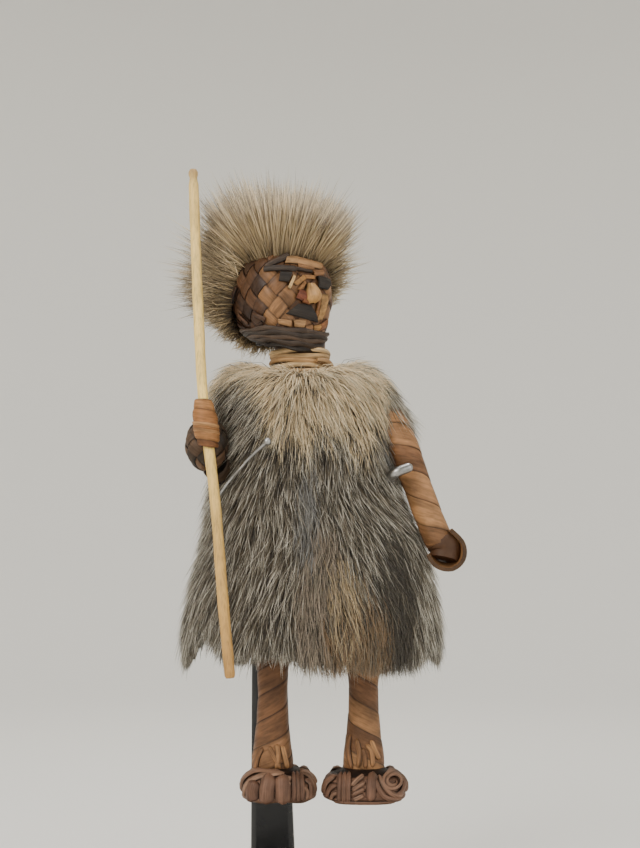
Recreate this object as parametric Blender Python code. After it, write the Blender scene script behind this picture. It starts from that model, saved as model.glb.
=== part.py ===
"""Plaited root doll in a fur cloak, held off the ground by a post with a wire cradle.

The figure faces -Y and its origin is under the middle of the base. Forms of the doll are
given on its own grid: x across, y back, h up from the soles, in units of UNIT, so they
keep their pose when the figure's height changes.
"""

import math

import bmesh
import bpy
from mathutils import Matrix, Vector

for old in list(bpy.data.objects):
    bpy.data.objects.remove(old, do_unlink=True)

MM = 0.001

# Driving sizes
FIT_GAP = 0.3 * MM
FIGURE_HEIGHT = 156 * MM
UNIT = FIGURE_HEIGHT / 156
BASE_RADIUS = 46 * MM
BASE_THICKNESS = 6 * MM
BASE_BEVEL = 1 * MM
SOCKET_DEPTH = 2 * MM
SOLE_LIFT = 30 * MM
POST_LEFT = -18.2 * MM
POST_FOOT_WIDTH = 13.6 * MM
POST_TOP_WIDTH = 8 * MM
POST_DEPTH = 8 * MM
POST_MIDDLE_Y = 33 * MM
POST_CHAMFER = 1.6 * MM
POST_ABOVE_WIRE = 5 * MM
WIRE_RADIUS = 0.55 * MM
BEAD_RADIUS = 1.1 * MM
SLEEVE_RADIUS = 1.4 * MM
WIRE_POCKET = 2.5 * MM
STAFF_RADIUS = 1.45 * MM
LASHING_WALL = 0.9 * MM
LASHING_SWELL = 0.8 * MM
LASHING_RIDGE = 0.35 * MM
CLOAK_WALL = 4.2 * MM
BAND_THICKNESS = 1.1 * MM
PLAIT_RELIEF = 0.5 * MM

SOLE_HEIGHT = BASE_THICKNESS + SOLE_LIFT


def at(x, y, h):
    """A point of the figure's grid in metres."""
    return Vector((x * UNIT, y * UNIT, SOLE_HEIGHT + h * UNIT))


# Materials


def finish(name, colour, roughness, metallic=0.0):
    material = bpy.data.materials.new(name)
    material.use_nodes = True
    shader = material.node_tree.nodes["Principled BSDF"]
    shader.inputs["Base Color"].default_value = (*colour, 1.0)
    shader.inputs["Roughness"].default_value = roughness
    shader.inputs["Metallic"].default_value = metallic
    material.diffuse_color = (*colour, 1.0)
    return material


ROOT = finish("root_strip", (0.30, 0.155, 0.075), 0.55)
DARK_ROOT = finish("dark_root_strip", (0.055, 0.032, 0.022), 0.6)
PALE_ROOT = finish("pale_root_strip", (0.44, 0.29, 0.16), 0.6)
CLOAK_FUR = finish("cloak_fur", (0.24, 0.22, 0.19), 0.9)
HAIR_FUR = finish("hair_fur", (0.38, 0.29, 0.19), 0.9)
STAFF_WOOD = finish("staff_wood", (0.62, 0.42, 0.22), 0.6)
STAND_BLACK = finish("stand_black", (0.012, 0.012, 0.013), 0.25)
STEEL = finish("cradle_steel", (0.55, 0.54, 0.52), 0.3, 1.0)


# Modelling tools


def make_object(name, bm, material, helper=False):
    """A named object from a closed bmesh. A helper only cuts or joins and isn't shown."""
    bmesh.ops.recalc_face_normals(bm, faces=bm.faces[:])
    mesh = bpy.data.meshes.new(name)
    bm.to_mesh(mesh)
    bm.free()
    mesh.materials.append(material)
    mesh.shade_smooth()
    mesh.set_sharp_from_angle(angle=math.radians(50))
    obj = bpy.data.objects.new(name, mesh)
    bpy.context.scene.collection.objects.link(obj)
    if helper:
        obj.hide_render = True
        obj.display_type = "WIRE"
    return obj


def boolean(target, other, operation="DIFFERENCE"):
    modifier = target.modifiers.new(operation.lower() + "_" + other.name, "BOOLEAN")
    modifier.operation = operation
    modifier.solver = "EXACT"
    modifier.object = other


def blend(rows, key):
    """The row of numbers at a key, read off a smooth curve through a table's rows."""
    rows = sorted(rows)
    key = min(max(key, rows[0][0]), rows[-1][0])
    index = max(i for i, row in enumerate(rows[:-1]) if row[0] <= key)
    before, low = rows[max(index - 1, 0)], rows[index]
    high, after = rows[index + 1], rows[min(index + 2, len(rows) - 1)]
    t = (key - low[0]) / (high[0] - low[0])
    found = []
    for a, b, c, d in zip(before[1:], low[1:], high[1:], after[1:]):
        slope_in, slope_out = (c - a) / 2, (d - b) / 2
        found.append(
            (2 * t**3 - 3 * t**2 + 1) * b
            + (t**3 - 2 * t**2 + t) * slope_in
            + (3 * t**2 - 2 * t**3) * c
            + (t**3 - t**2) * slope_out
        )
    return found


def smooth_path(points, count):
    """Evenly numbered points on a smooth curve through the given ones."""
    rows = [(i, *point) for i, point in enumerate(points)]
    return [Vector(blend(rows, i * (len(rows) - 1) / (count - 1))) for i in range(count)]


def oval(centre, half_x, half_y, angle, squareness=2.2):
    """A point of a level rounded outline."""
    c, s = math.cos(angle), math.sin(angle)
    reach = (abs(c) ** squareness + abs(s) ** squareness) ** (-1 / squareness)
    return centre + Vector((half_x * reach * c, half_y * reach * s, 0))


def loft(rings, closed=False):
    """A skin over rings of points, with flat ends, or closed back onto its first ring."""
    bm = bmesh.new()
    rows = [[bm.verts.new(point) for point in ring] for ring in rings]
    pairs = list(zip(rows, rows[1:]))
    if closed:
        pairs.append((rows[-1], rows[0]))
    for low, high in pairs:
        for i, corner in enumerate(low):
            j = (i + 1) % len(low)
            bm.faces.new((corner, low[j], high[j], high[i]))
    if not closed:
        bm.faces.new(rows[0])
        bm.faces.new(rows[-1])
    return bm


def diamond_faces(bm, rows):
    """Diamond faces over rings whose odd ones are turned by half a column, and their rim triangles."""
    count = len(rows[0])
    diamonds, rims = [], []
    for j, row in enumerate(rows):
        for i, left in enumerate(row):
            right = row[(i + 1) % count]
            k = i if j % 2 == 0 else (i + 1) % count
            if 0 < j < len(rows) - 1:
                diamonds.append(bm.faces.new((left, rows[j - 1][k], right, rows[j + 1][k])))
            else:
                other = rows[1 if j == 0 else j - 1][k]
                rims.append((left, right, other))
    return diamonds, rims


def plaited_loft(ring_at, row_count, columns, relief):
    """A closed body of diamond pads, one for each crossing of the strips."""
    bm = bmesh.new()
    rows = []
    for j in range(row_count):
        turn = 0.5 * (j % 2)
        angles = [2 * math.pi * (i + turn) / columns for i in range(columns)]
        rows.append([bm.verts.new(ring_at(j / (row_count - 1), angle)) for angle in angles])
    diamonds, rims = diamond_faces(bm, rows)
    for corners in rims:
        bm.faces.new(corners)
    bm.faces.new(rows[0])
    bm.faces.new(rows[-1])
    bmesh.ops.recalc_face_normals(bm, faces=bm.faces[:])
    bmesh.ops.poke(bm, faces=diamonds, offset=relief, use_relative_offset=False)
    return bm


def ring_frames(path):
    """For each point of a path, two directions square to it that don't twist along it."""
    frames = []
    side = None
    for i, point in enumerate(path):
        along = (path[min(i + 1, len(path) - 1)] - path[max(i - 1, 0)]).normalized()
        if side is None:
            side = along.orthogonal()
        side = (side - along * side.dot(along)).normalized()
        frames.append((point, side, along.cross(side)))
    return frames


def tube(path, radii, sides):
    rings = []
    angles = [2 * math.pi * i / sides for i in range(sides)]
    for (point, side, lift), radius in zip(ring_frames(path), radii):
        rings.append([point + (side * math.cos(a) + lift * math.sin(a)) * radius for a in angles])
    return loft(rings)


def plaited_tube(path, radius_at, row_count, columns, relief):
    """A limb of strips plaited round a smooth path."""
    frames = ring_frames(smooth_path(path, row_count))

    def ring_at(share, angle):
        point, side, lift = frames[round(share * (row_count - 1))]
        return point + (side * math.cos(angle) + lift * math.sin(angle)) * radius_at(share)

    return plaited_loft(ring_at, row_count, columns, relief)


# Stand: a black disc and a tapered black bar fixed in it

BASE_SEGMENTS = 40
POST_SIDES = ((-1, -1), (1, -1), (1, 1), (-1, 1))
WIRE_HEIGHT = SOLE_HEIGHT + 85 * UNIT
POST_TOP = WIRE_HEIGHT + POST_ABOVE_WIRE


def post_outline(height, width, grow=0.0):
    """The bar's section: its left side is plumb, and its four corners are chamfered."""
    corners = []
    half_x, half_y = width / 2 + grow, POST_DEPTH / 2 + grow
    middle = Vector((POST_LEFT + width / 2, POST_MIDDLE_Y, height))
    for index, (sx, sy) in enumerate(POST_SIDES):
        near_x = Vector((sx * (half_x - POST_CHAMFER), sy * half_y, 0))
        near_y = Vector((sx * half_x, sy * (half_y - POST_CHAMFER), 0))
        pair = (near_x, near_y) if index % 2 else (near_y, near_x)
        corners.extend(middle + corner for corner in pair)
    return corners


def build_stand():
    bm = bmesh.new()
    bmesh.ops.create_circle(bm, cap_ends=True, segments=BASE_SEGMENTS, radius=BASE_RADIUS)
    top = bmesh.ops.extrude_face_region(bm, geom=bm.faces[:])["geom"]
    raised = [part for part in top if isinstance(part, bmesh.types.BMVert)]
    bmesh.ops.translate(bm, verts=raised, vec=(0, 0, BASE_THICKNESS))
    rim = [edge for edge in bm.edges if all(vert in raised for vert in edge.verts)]
    bmesh.ops.bevel(bm, geom=rim, offset=BASE_BEVEL, segments=2, profile=0.5, affect="EDGES", material=-1)
    base = make_object("stand_base", bm, STAND_BLACK)
    foot = BASE_THICKNESS - SOCKET_DEPTH
    socket_top = BASE_THICKNESS + SOCKET_DEPTH
    rings = [post_outline(z, POST_FOOT_WIDTH, FIT_GAP) for z in (foot - FIT_GAP, socket_top)]
    boolean(base, make_object("post_socket_cutter", loft(rings), STAND_BLACK, helper=True))

    tip = POST_TOP + POST_CHAMFER
    sections = [
        post_outline(foot, POST_FOOT_WIDTH),
        post_outline(socket_top, POST_FOOT_WIDTH),
        post_outline(POST_TOP, POST_TOP_WIDTH),
        post_outline(tip, POST_TOP_WIDTH, -POST_CHAMFER / 2),
    ]
    return make_object("stand_post", loft(sections), STAND_BLACK)


# Cradle: two steel wires that leave the post and pass round the figure. The one on the staff's
# side ends in a bead, and the other in a short round-ended sleeve.

STAFF_SIDE_ROUTE = (
    (-20.5, 33, 85), (-28, 28, 84.5), (-31.5, 16, 83), (-30.5, 2, 81.5), (-27, -10, 82.5),
    (-22.5, -17.5, 88), (-17, -22, 94), (-12, -24.5, 98.4),
)
ARM_SIDE_ROUTE = (
    (-8, 33, 85), (4, 31, 84.5), (17, 26, 84), (25.5, 15, 84), (26.5, 4, 85),
    (24.2, -5.5, 87), (22.2, -12.5, 89.2), (24, -16, 91), (27.3, -15.5, 92.4),
)
WIRE_POINTS = 18
SLEEVE_STEPS = 3


def cradle_prong(name, route, root_x, sleeved, grow=0.0):
    root = Vector((root_x, POST_MIDDLE_Y, WIRE_HEIGHT))
    path = [root] + smooth_path([at(*point) for point in route], WIRE_POINTS)
    radii = [WIRE_RADIUS + grow] * len(path)
    bead = (SLEEVE_RADIUS if sleeved else BEAD_RADIUS) + grow
    end, along = path[-1], (path[-1] - path[-2]).normalized()
    if sleeved:
        start = len(path) - 1 - SLEEVE_STEPS
        path.insert(start + 1, path[start].lerp(path[start + 1], 0.3))
        radii[start + 1:] = [bead] * (SLEEVE_STEPS + 1)
    for step in range(3 if sleeved else 1, 6):
        angle = math.pi * step / 6
        path.append(end + along * bead * ((0.3 if sleeved else 1) - math.cos(angle)))
        radii.append(max(bead * math.sin(angle), WIRE_RADIUS * 0.6))
    return make_object(name, tube(path, radii, 6), STEEL, helper=grow > 0)


def build_cradle(post, cloak):
    right_face = POST_LEFT + POST_TOP_WIDTH + (POST_FOOT_WIDTH - POST_TOP_WIDTH) * (
        (POST_TOP - WIRE_HEIGHT) / POST_TOP
    )
    roots = {"staff": POST_LEFT + WIRE_POCKET, "arm": right_face - WIRE_POCKET}
    for side, route in (("staff", STAFF_SIDE_ROUTE), ("arm", ARM_SIDE_ROUTE)):
        sleeved = side == "arm"
        deeper = -FIT_GAP if sleeved else FIT_GAP
        cradle_prong(f"cradle_prong_{side}_side", route, roots[side], sleeved)
        cutter = cradle_prong(f"{side}_prong_cutter", route, roots[side] + deeper, sleeved, FIT_GAP)
        boolean(post, cutter)
        boolean(cloak, cutter)


# Body: trunk, neck and legs wound from root strips in one

TRUNK = (
    (47, 2.3, 0, 12, 7.5), (53, 2.3, 0, 15, 9), (66, 1.5, 0, 15, 10), (88, 0, 0, 14.5, 10.5),
    (106, -1.5, 0, 17, 10.5), (112, -2, 0, 17.5, 10), (117, -2.6, 0, 12.5, 8.8), (119.5, -3, 0, 8, 7.8),
)
TRUNK_ROWS = 9
TRUNK_COLUMNS = 12
NECK_RADIUS = 7.4
NECK_MIDDLE_X = -3
NECK_FOOT = 116
NECK_TOP = 126.6
NECK_WRAP_ENDS = (119.9, 126.6)
KNOT_ROUTE = ((1, -8.6, 125.2), (4.4, -7.4, 124.8), (5.8, -5.6, 123.2), (5.4, -6.8, 121.6))
KNOT_RADIUS = 1.1
LEGS = {"right": -10.6, "left": 15.3}
LEG_TABLE = (
    (4.5, 4.9, 4.6), (8, 5.6, 5.2), (12, 5.4, 4.9), (16, 4.8, 4.5),
    (22, 4.2, 4.2), (30, 3.9, 4.1), (42, 4.8, 4.8), (56, 6.2, 6.0),
)
STRIP_TURNS = 3.2


def trunk_ring(share, angle, grow=0.0):
    h = TRUNK[0][0] + share * (TRUNK[-1][0] - TRUNK[0][0])
    x, y, half_x, half_y = blend(TRUNK, h)
    return oval(at(x, y, h), half_x * UNIT + grow, half_y * UNIT + grow, angle)


def trunk_room():
    """The room that the trunk needs inside the pelt."""
    rings = []
    for j in range(TRUNK_ROWS):
        angles = [2 * math.pi * i / TRUNK_COLUMNS for i in range(TRUNK_COLUMNS)]
        share = j / (TRUNK_ROWS - 1)
        rings.append([trunk_ring(share, angle, PLAIT_RELIEF + 2 * FIT_GAP) for angle in angles])
    return make_object("trunk_cutter", loft(rings), ROOT, helper=True)


def leg_mesh(centre_x, grow=0.0):
    """A leg with its strips wound up it as broad helical ridges."""
    rings = []
    rows, columns = 15, 12
    low, high = LEG_TABLE[0][0], LEG_TABLE[-1][0]
    for j in range(rows):
        h = low + (high - low) * j / (rows - 1)
        half_x, half_y = (size * UNIT + grow for size in blend(LEG_TABLE, h))
        foot = h - (FIT_GAP if grow else 0) / UNIT
        ring = []
        for i in range(columns):
            angle = 2 * math.pi * i / columns
            lap = (STRIP_TURNS * j / (rows - 1) + 2 * i / columns) % 1
            ridge = 0 if grow else PLAIT_RELIEF * (lap - 0.8)
            ring.append(oval(at(centre_x, 0, foot), half_x + ridge, half_y + ridge, angle))
        rings.append(ring)
    return loft(rings)


def build_body():
    body = make_object("body", plaited_loft(trunk_ring, TRUNK_ROWS, TRUNK_COLUMNS, PLAIT_RELIEF), ROOT)
    neck_path = [at(NECK_MIDDLE_X, 0, h) for h in (NECK_FOOT, NECK_TOP)]
    neck = make_object("neck_joiner", tube(neck_path, [NECK_RADIUS * UNIT] * 2, 16), ROOT, helper=True)
    boolean(body, neck, "UNION")
    for side, centre_x in LEGS.items():
        leg = make_object(f"{side}_leg_joiner", leg_mesh(centre_x), ROOT, helper=True)
        boolean(body, leg, "UNION")
    return body


def build_neck_wrap():
    """Pale strips wound round the neck in three turns, with a knot end at the side."""
    inner, lap = NECK_RADIUS * UNIT + FIT_GAP, 0.7 * UNIT
    low, high = NECK_WRAP_ENDS
    sides, half_strip = 14, 0.75
    profile = [(inner, low), (inner, high)]
    for turn in (2, 1, 0):
        middle = low + (high - low) * (turn + 0.5) / 3
        edges = [(inner + lap, middle + side * half_strip) for side in (1, -1)]
        profile += [edges[0], (inner + 2 * lap, middle), edges[1]]
    rings = []
    for radius, h in profile:
        centre = at(NECK_MIDDLE_X, 0, h)
        rings.append([oval(centre, radius, radius, 2 * math.pi * i / sides, 2) for i in range(sides)])
    wrap = make_object("neck_wrap", loft(rings, closed=True), PALE_ROOT)
    boolean(wrap, knot_end("knot_joiner"), "UNION")


def knot_end(name, grow=0.0):
    path = smooth_path([at(*point) for point in KNOT_ROUTE], 8)
    return make_object(name, tube(path, [KNOT_RADIUS * UNIT + grow] * 8, 6), PALE_ROOT, helper=True)


# Head: a blocky plaited ball, turned towards the figure's left

HEAD_MIDDLE = (-8.2, -1, 141)
HEAD_HALF = (12.9, 12.9, 14.3)
HEAD_SQUARENESS = 3.4
JAW_TAPER = 0.16
CHIN_FORWARD = 2.4
FACE_TURN = math.radians(35)
BAND_COLUMNS = 24


def head_point(turn, rise, out=0.0, fullness=None):
    """A point of the head: turn from the face's middle and rise above the head's, both outside it by out."""
    half_x, half_y, half_z = HEAD_HALF
    if fullness is None:
        fullness = (1 - min(abs(rise) / half_z, 1) ** HEAD_SQUARENESS) ** (1 / HEAD_SQUARENESS)
    size = fullness * (1 - JAW_TAPER * max(0, -rise / half_z)) * UNIT
    angle = math.radians(turn) - math.pi / 2
    x, y, h = HEAD_MIDDLE
    local = oval(Vector(), half_x * size + out, half_y * size + out, angle, 3)
    local.y -= CHIN_FORWARD * max(0, -rise / half_z) ** 2 * UNIT
    return at(x, y, h + rise) + Matrix.Rotation(FACE_TURN, 3, "Z") @ local


def head_mesh(grow=0.0):
    rows = 11
    half_z = HEAD_HALF[2] + grow / UNIT

    def ring_at(share, angle):
        latitude = math.radians(-74 + 148 * share)
        rise = math.copysign(abs(math.sin(latitude)) ** (2 / HEAD_SQUARENESS), latitude) * half_z
        fullness = math.cos(latitude) ** (2 / HEAD_SQUARENESS)
        return head_point(math.degrees(angle) + 90, rise, grow, fullness)

    return plaited_loft(ring_at, rows, 16, 0 if grow else PLAIT_RELIEF)


def head_patch(name, outline, thickness, material, columns=6, lift=0.0):
    """A strip laid on the head. The outline gives (turn, rise) at a share along and across it."""
    inside = PLAIT_RELIEF + FIT_GAP + lift
    layers = []
    for out in (inside, inside + thickness):
        layer = []
        for i in range(columns + 1):
            layer.append([head_point(*outline(i / columns, j / 2), out) for j in range(3)])
        layers.append(layer)
    for row in layers[1]:
        row[1] += (row[1] - at(*HEAD_MIDDLE)).normalized() * thickness * 0.3
    rings = [low + high[::-1] for low, high in zip(*layers)]
    return make_object(name, loft(rings), material)


def head_band(name, middle_rise, half_width, material, thickness, tilt=0.0):
    """A strip that runs all round the head, higher or lower at the face by its tilt."""
    inside = PLAIT_RELIEF + 2 * FIT_GAP
    section = ((-1, 0), (-1, 0.8), (0, 1.15), (1, 0.8), (1, 0))
    rings = []
    for i in range(BAND_COLUMNS):
        turn = 360 * i / BAND_COLUMNS
        middle = middle_rise + tilt * math.cos(math.radians(turn))
        ring = []
        for across, out in section:
            ring.append(head_point(turn, middle + across * half_width, inside + out * thickness))
        rings.append(ring)
    return make_object(name, loft(rings, closed=True), material)


def quad(corners):
    """An outline over four (turn, rise) corners, in order along one side and back along the other."""
    a, b, c, d = corners

    def outline(along, across):
        near = [p + (q - p) * along for p, q in zip(a, b)]
        far = [p + (q - p) * along for p, q in zip(d, c)]
        return [p + (q - p) * across for p, q in zip(near, far)]

    return outline


def build_head():
    make_object("head", head_mesh(), ROOT)
    head_band("jaw_band", -11.4, 1.85, DARK_ROOT, BAND_THICKNESS)
    brow = quad(((-64, 6.6), (-10, 7.0), (-10, 8.6), (-64, 8.2)))
    head_patch("brow_strip", brow, BAND_THICKNESS, DARK_ROOT)
    forehead = quad(((-38, 9.5), (34, 9.5), (34, 11.6), (-38, 11.6)))
    head_patch("forehead_strip", forehead, BAND_THICKNESS, PALE_ROOT)
    near_eye = quad(((-38, 3.2), (-14, 3.8), (-12, 6.1), (-34, 5.8)))
    head_patch("near_eye_strip", near_eye, BAND_THICKNESS * 0.6, DARK_ROOT, 3)
    far_eye = quad(((17, 3.4), (38, 3.2), (38, 6), (17, 6.4)))
    head_patch("far_eye_strip", far_eye, BAND_THICKNESS * 0.6, DARK_ROOT, 3)
    mouth = quad(((-20, -5.6), (18, -6.8), (6, -2.9), (-4, -3.1)))
    head_patch("mouth_strip", mouth, BAND_THICKNESS * 0.8, DARK_ROOT, 4)
    lip = quad(((-12, -8.8), (16, -8.6), (17, -7.2), (-14, -6.5)))
    head_patch("lower_lip_strip", lip, BAND_THICKNESS * 0.8, PALE_ROOT, 4)
    build_nose()


def build_nose():
    """A strip folded to a wedge that widens and stands out towards its lower end."""
    rings = []
    sections = ((6.6, 2, 0.9), (4.6, 5, 1.5), (2, 9, 3), (-0.4, 12, 4.2), (-1.9, 11, 3.6), (-2.6, 6, 1.8))
    inside = PLAIT_RELIEF + FIT_GAP
    for rise, spread, height in sections:
        ring = [head_point(turn, rise, inside) for turn in (spread, 0, -spread)]
        for across, share in ((-0.8, 0.55), (-0.3, 1), (0.3, 1), (0.8, 0.55)):
            ring.append(head_point(across * spread, rise, inside + share * height * UNIT))
        rings.append(ring)
    make_object("nose_fold", loft(rings), ROOT)


# Hair: a mop of fur over the crown and the back of the head, swept away from the face

HAIR_AXIS = Vector((-0.40, 0.60, 0.69)).normalized()
HAIR_PEAK = Vector((-0.5, 0.1, 0.86)).normalized()
HAIR_SPREAD = math.radians(76)
HAIR_REACH = 26
HAIR_PEAK_REACH = 12
HAIR_LOCK = 4.2
HAIR_FRONT_SHARE = 0.25


def hair_point(polar, angle, reach_share=1.0):
    across = HAIR_AXIS.orthogonal()
    lift = HAIR_AXIS.cross(across)
    sideways = across * math.cos(angle) + lift * math.sin(angle)
    direction = HAIR_AXIS * math.cos(polar) + sideways * math.sin(polar)
    reach = HAIR_REACH + HAIR_PEAK_REACH * max(0, direction.dot(HAIR_PEAK)) ** 3
    if direction.y < 0:
        direction.y *= HAIR_FRONT_SHARE
    return at(*HEAD_MIDDLE) + direction * reach * reach_share * UNIT


def build_hair():
    bm = bmesh.new()
    columns, rows = 20, []
    polars = [math.radians(angle) for angle in (11, 23, 35, 47, 58, 68)] + [HAIR_SPREAD]
    for j, polar in enumerate(polars):
        turn = 0.5 * (j % 2)
        ring = [hair_point(polar, 2 * math.pi * (i + turn) / columns) for i in range(columns)]
        rows.append([bm.verts.new(point) for point in ring])
    diamonds, rims = diamond_faces(bm, rows)
    for corners in rims:
        bm.faces.new(corners)
    bm.faces.new(rows[0])
    last = rows[-1]
    turn = 0.5 * ((len(polars) - 1) % 2)
    for share, polar in ((0.62, HAIR_SPREAD), (0.36, HAIR_SPREAD * 0.98)):
        ring = [hair_point(polar, 2 * math.pi * (i + turn) / columns, share) for i in range(columns)]
        inner = [bm.verts.new(point) for point in ring]
        for i in range(columns):
            j = (i + 1) % columns
            bm.faces.new((last[i], last[j], inner[j], inner[i]))
        last = inner
    bm.faces.new(last)
    bmesh.ops.recalc_face_normals(bm, faces=bm.faces[:])
    locks = bmesh.ops.poke(bm, faces=diamonds, offset=HAIR_LOCK * UNIT, use_relative_offset=False)
    middle = at(*HEAD_MIDDLE)
    for tip in locks["verts"]:
        sweep = (HAIR_AXIS.cross((tip.co - middle).normalized())).cross(tip.co - middle).normalized()
        tip.co += sweep * 2.2 * UNIT
    hair = make_object("hair_fur", bm, HAIR_FUR)
    boolean(hair, make_object("head_cutter", head_mesh(PLAIT_RELIEF + 3 * FIT_GAP), HAIR_FUR, helper=True))
    return hair


# Cloak: one pelt with the fur outside, open at the neck, the arms and the hem

CLOAK = (
    (0, -3, 0, 10.4, 10.4, 120.6), (0.07, -3, 0, 14, 12.2, 121.7), (0.15, -2.6, 0, 20, 14.8, 120.2),
    (0.23, -2.2, 0, 24.2, 16.6, 116), (0.32, -1.8, 0, 25.6, 18, 108.8), (0.45, -1.2, 0, 24.4, 19, 96),
    (0.58, -1.4, 0, 26, 19.8, 84), (0.7, 0.6, 0, 29.8, 21.4, 72), (0.82, 0.8, 0, 33, 23, 59),
    (0.92, 0.6, 0, 34.8, 23.8, 48), (1, 0.6, 0, 35, 24, 37.5),
)
CLOAK_ROWS = 16
CLOAK_COLUMNS = 24
LOCK_DEPTH = 2.4
LOCK_DROP = 0.62
NECK_DIP = 6
PRESSED_REACH = 10
NECK_SHARE = 0.22


def cloak_point(share, angle, grow=0.0):
    x, y, half_x, half_y, h = blend(CLOAK, share)
    dip = NECK_DIP * max(0, -math.sin(angle)) ** 2 * max(0, 1 - share / NECK_SHARE)
    return oval(at(x, y, h - dip), half_x * UNIT + grow, half_y * UNIT + grow, angle, 2.3)


def build_cloak(openings):
    """A shell with rows of pointed tufts, pressed flat under arms and wires, and a hem of tips."""
    bm = bmesh.new()
    rows = []
    for j in range(CLOAK_ROWS):
        turn = 0.5 * (j % 2)
        angles = [2 * math.pi * (i + turn) / CLOAK_COLUMNS for i in range(CLOAK_COLUMNS)]
        rows.append([bm.verts.new(cloak_point(j / (CLOAK_ROWS - 1), angle)) for angle in angles])
    diamonds, _ = diamond_faces(bm, rows)

    steps = 2 * CLOAK_COLUMNS
    angles = [math.pi * i / CLOAK_COLUMNS for i in range(steps)]

    def zigzag(first, second):
        """The open edge between two neighbouring rows, corner by corner round the pelt."""
        even_row, odd_row = sorted((first, second), key=lambda index: index % 2)
        return [rows[odd_row if i % 2 else even_row][i // 2] for i in range(steps)]

    top_edge = zigzag(0, 1)
    hem_edge = zigzag(CLOAK_ROWS - 2, CLOAK_ROWS - 1)
    inner = []
    for share in (1, 0.72, 0.4, 0.15, 0):
        ring = []
        for i, angle in enumerate(angles):
            outside = cloak_point(share, angle)
            if share == 1:
                outside.z = hem_edge[i].co.z
            wall = CLOAK_WALL if share > 0.2 else CLOAK_WALL * 0.5
            sunk = cloak_point(share, angle, -wall if share > 0 else -0.2 * UNIT)
            sunk.z = outside.z - (CLOAK_WALL if share < 0.3 else 0)
            ring.append(bm.verts.new(sunk))
        inner.append(ring)
    for low, high in zip([hem_edge] + inner, inner + [top_edge]):
        for i in range(steps):
            j = (i + 1) % steps
            bm.faces.new((low[i], low[j], high[j], high[i]))

    bmesh.ops.recalc_face_normals(bm, faces=bm.faces[:])
    tips = bmesh.ops.poke(bm, faces=diamonds)["verts"]
    bm.normal_update()
    neighbours = (*RIGHT_ARM, FIST_MIDDLE, *LEFT_ARM, *STAFF_SIDE_ROUTE, *ARM_SIDE_ROUTE)
    pressed = [at(*point) for point in neighbours]
    for tip in tips:
        low_corner = min((edge.other_vert(tip).co for edge in tip.link_edges), key=lambda co: co.z)
        nearest = min((tip.co - point).length for point in pressed)
        lift = min(1, nearest / (PRESSED_REACH * UNIT)) ** 3 * LOCK_DEPTH * UNIT
        tip.co += tip.normal * lift + Vector((0, 0, (low_corner.z - tip.co.z) * LOCK_DROP))
    cloak = make_object("cloak", bm, CLOAK_FUR)
    for opening in openings:
        boolean(cloak, opening)
    return cloak


# Arms, staff and feet

LEFT_ARM = (
    (19.5, -4, 111), (22.5, -6, 107), (26, -8, 100), (29.3, -8.5, 91), (33.2, -8.8, 80), (36.6, -9, 71.5),
)
LEFT_ARM_ROWS = 15
RIGHT_ARM_ROWS = 9
LEFT_HAND = (
    (38.2, -9, 74), (41.2, -9, 71), (41.3, -9.6, 67.8),
    (39, -10.4, 65.9), (35.9, -11, 66.6), (34.3, -11.4, 69),
)
RIGHT_ARM = (
    (-19.5, -1.5, 109), (-20.6, -2.2, 101.5), (-22.2, -5, 94.5), (-24.4, -10, 91.6), (-26.4, -14.5, 93.5),
)
FIST_MIDDLE = (-27.3, -16.4, 99.6)
FIST_HALF = (7, 5.4, 7.6)
STAFF_ROUTE = (
    (-33.9, -8, 179.3), (-32.6, -11.5, 156), (-31, -16, 132), (-29.2, -20, 110), (-25.4, -25, 83),
    (-22.7, -30, 56.6), (-20.4, -34, 36.7),
)
LASHING_ENDS = (97.4, 111)
STAFF_POINTS = 10


def arm_radius(share):
    return (3.7 + 0.5 * math.sin(math.pi * min(share * 1.6, 1))) * UNIT


def arm_path(points):
    return [at(*point) for point in points]


def arm_cutter(name, points, rows):
    """The room that an arm needs where it leaves the trunk and the pelt."""
    path = smooth_path(arm_path(points), rows)
    return make_object(name, tube(path, [5.3 * UNIT + FIT_GAP] * rows, 8), ROOT, helper=True)


def plaited_arm(name, points, rows):
    return make_object(name, plaited_tube(arm_path(points), arm_radius, rows, 8, PLAIT_RELIEF), ROOT)


def build_left_arm():
    arm = plaited_arm("left_arm", LEFT_ARM, LEFT_ARM_ROWS)
    hand_path = smooth_path([at(*point) for point in LEFT_HAND], 12)
    radii = [(2.6 - 0.7 * i / 11) * UNIT for i in range(12)]
    hand = make_object("left_hand_joiner", tube(hand_path, radii, 8), ROOT, helper=True)
    boolean(arm, hand, "UNION")
    return arm


def staff_path(count):
    return smooth_path([at(*point) for point in STAFF_ROUTE], count)


def staff_at(h):
    """The staff's middle at a height of the figure's grid."""
    path = staff_path(60)
    return min(path, key=lambda point: abs(point.z - at(0, 0, h).z))


def build_staff():
    """A whittled stick with both ends eased."""
    path = staff_path(STAFF_POINTS)
    tips = []
    for end, before in ((path[0], path[1]), (path[-1], path[-2])):
        tips.append(end + (end - before).normalized() * STAFF_RADIUS / 4)
    radii = [STAFF_RADIUS * 0.75] + [STAFF_RADIUS] * STAFF_POINTS + [STAFF_RADIUS * 0.75]
    return make_object("staff", tube([tips[0]] + path + [tips[1]], radii, 10), STAFF_WOOD)


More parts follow.
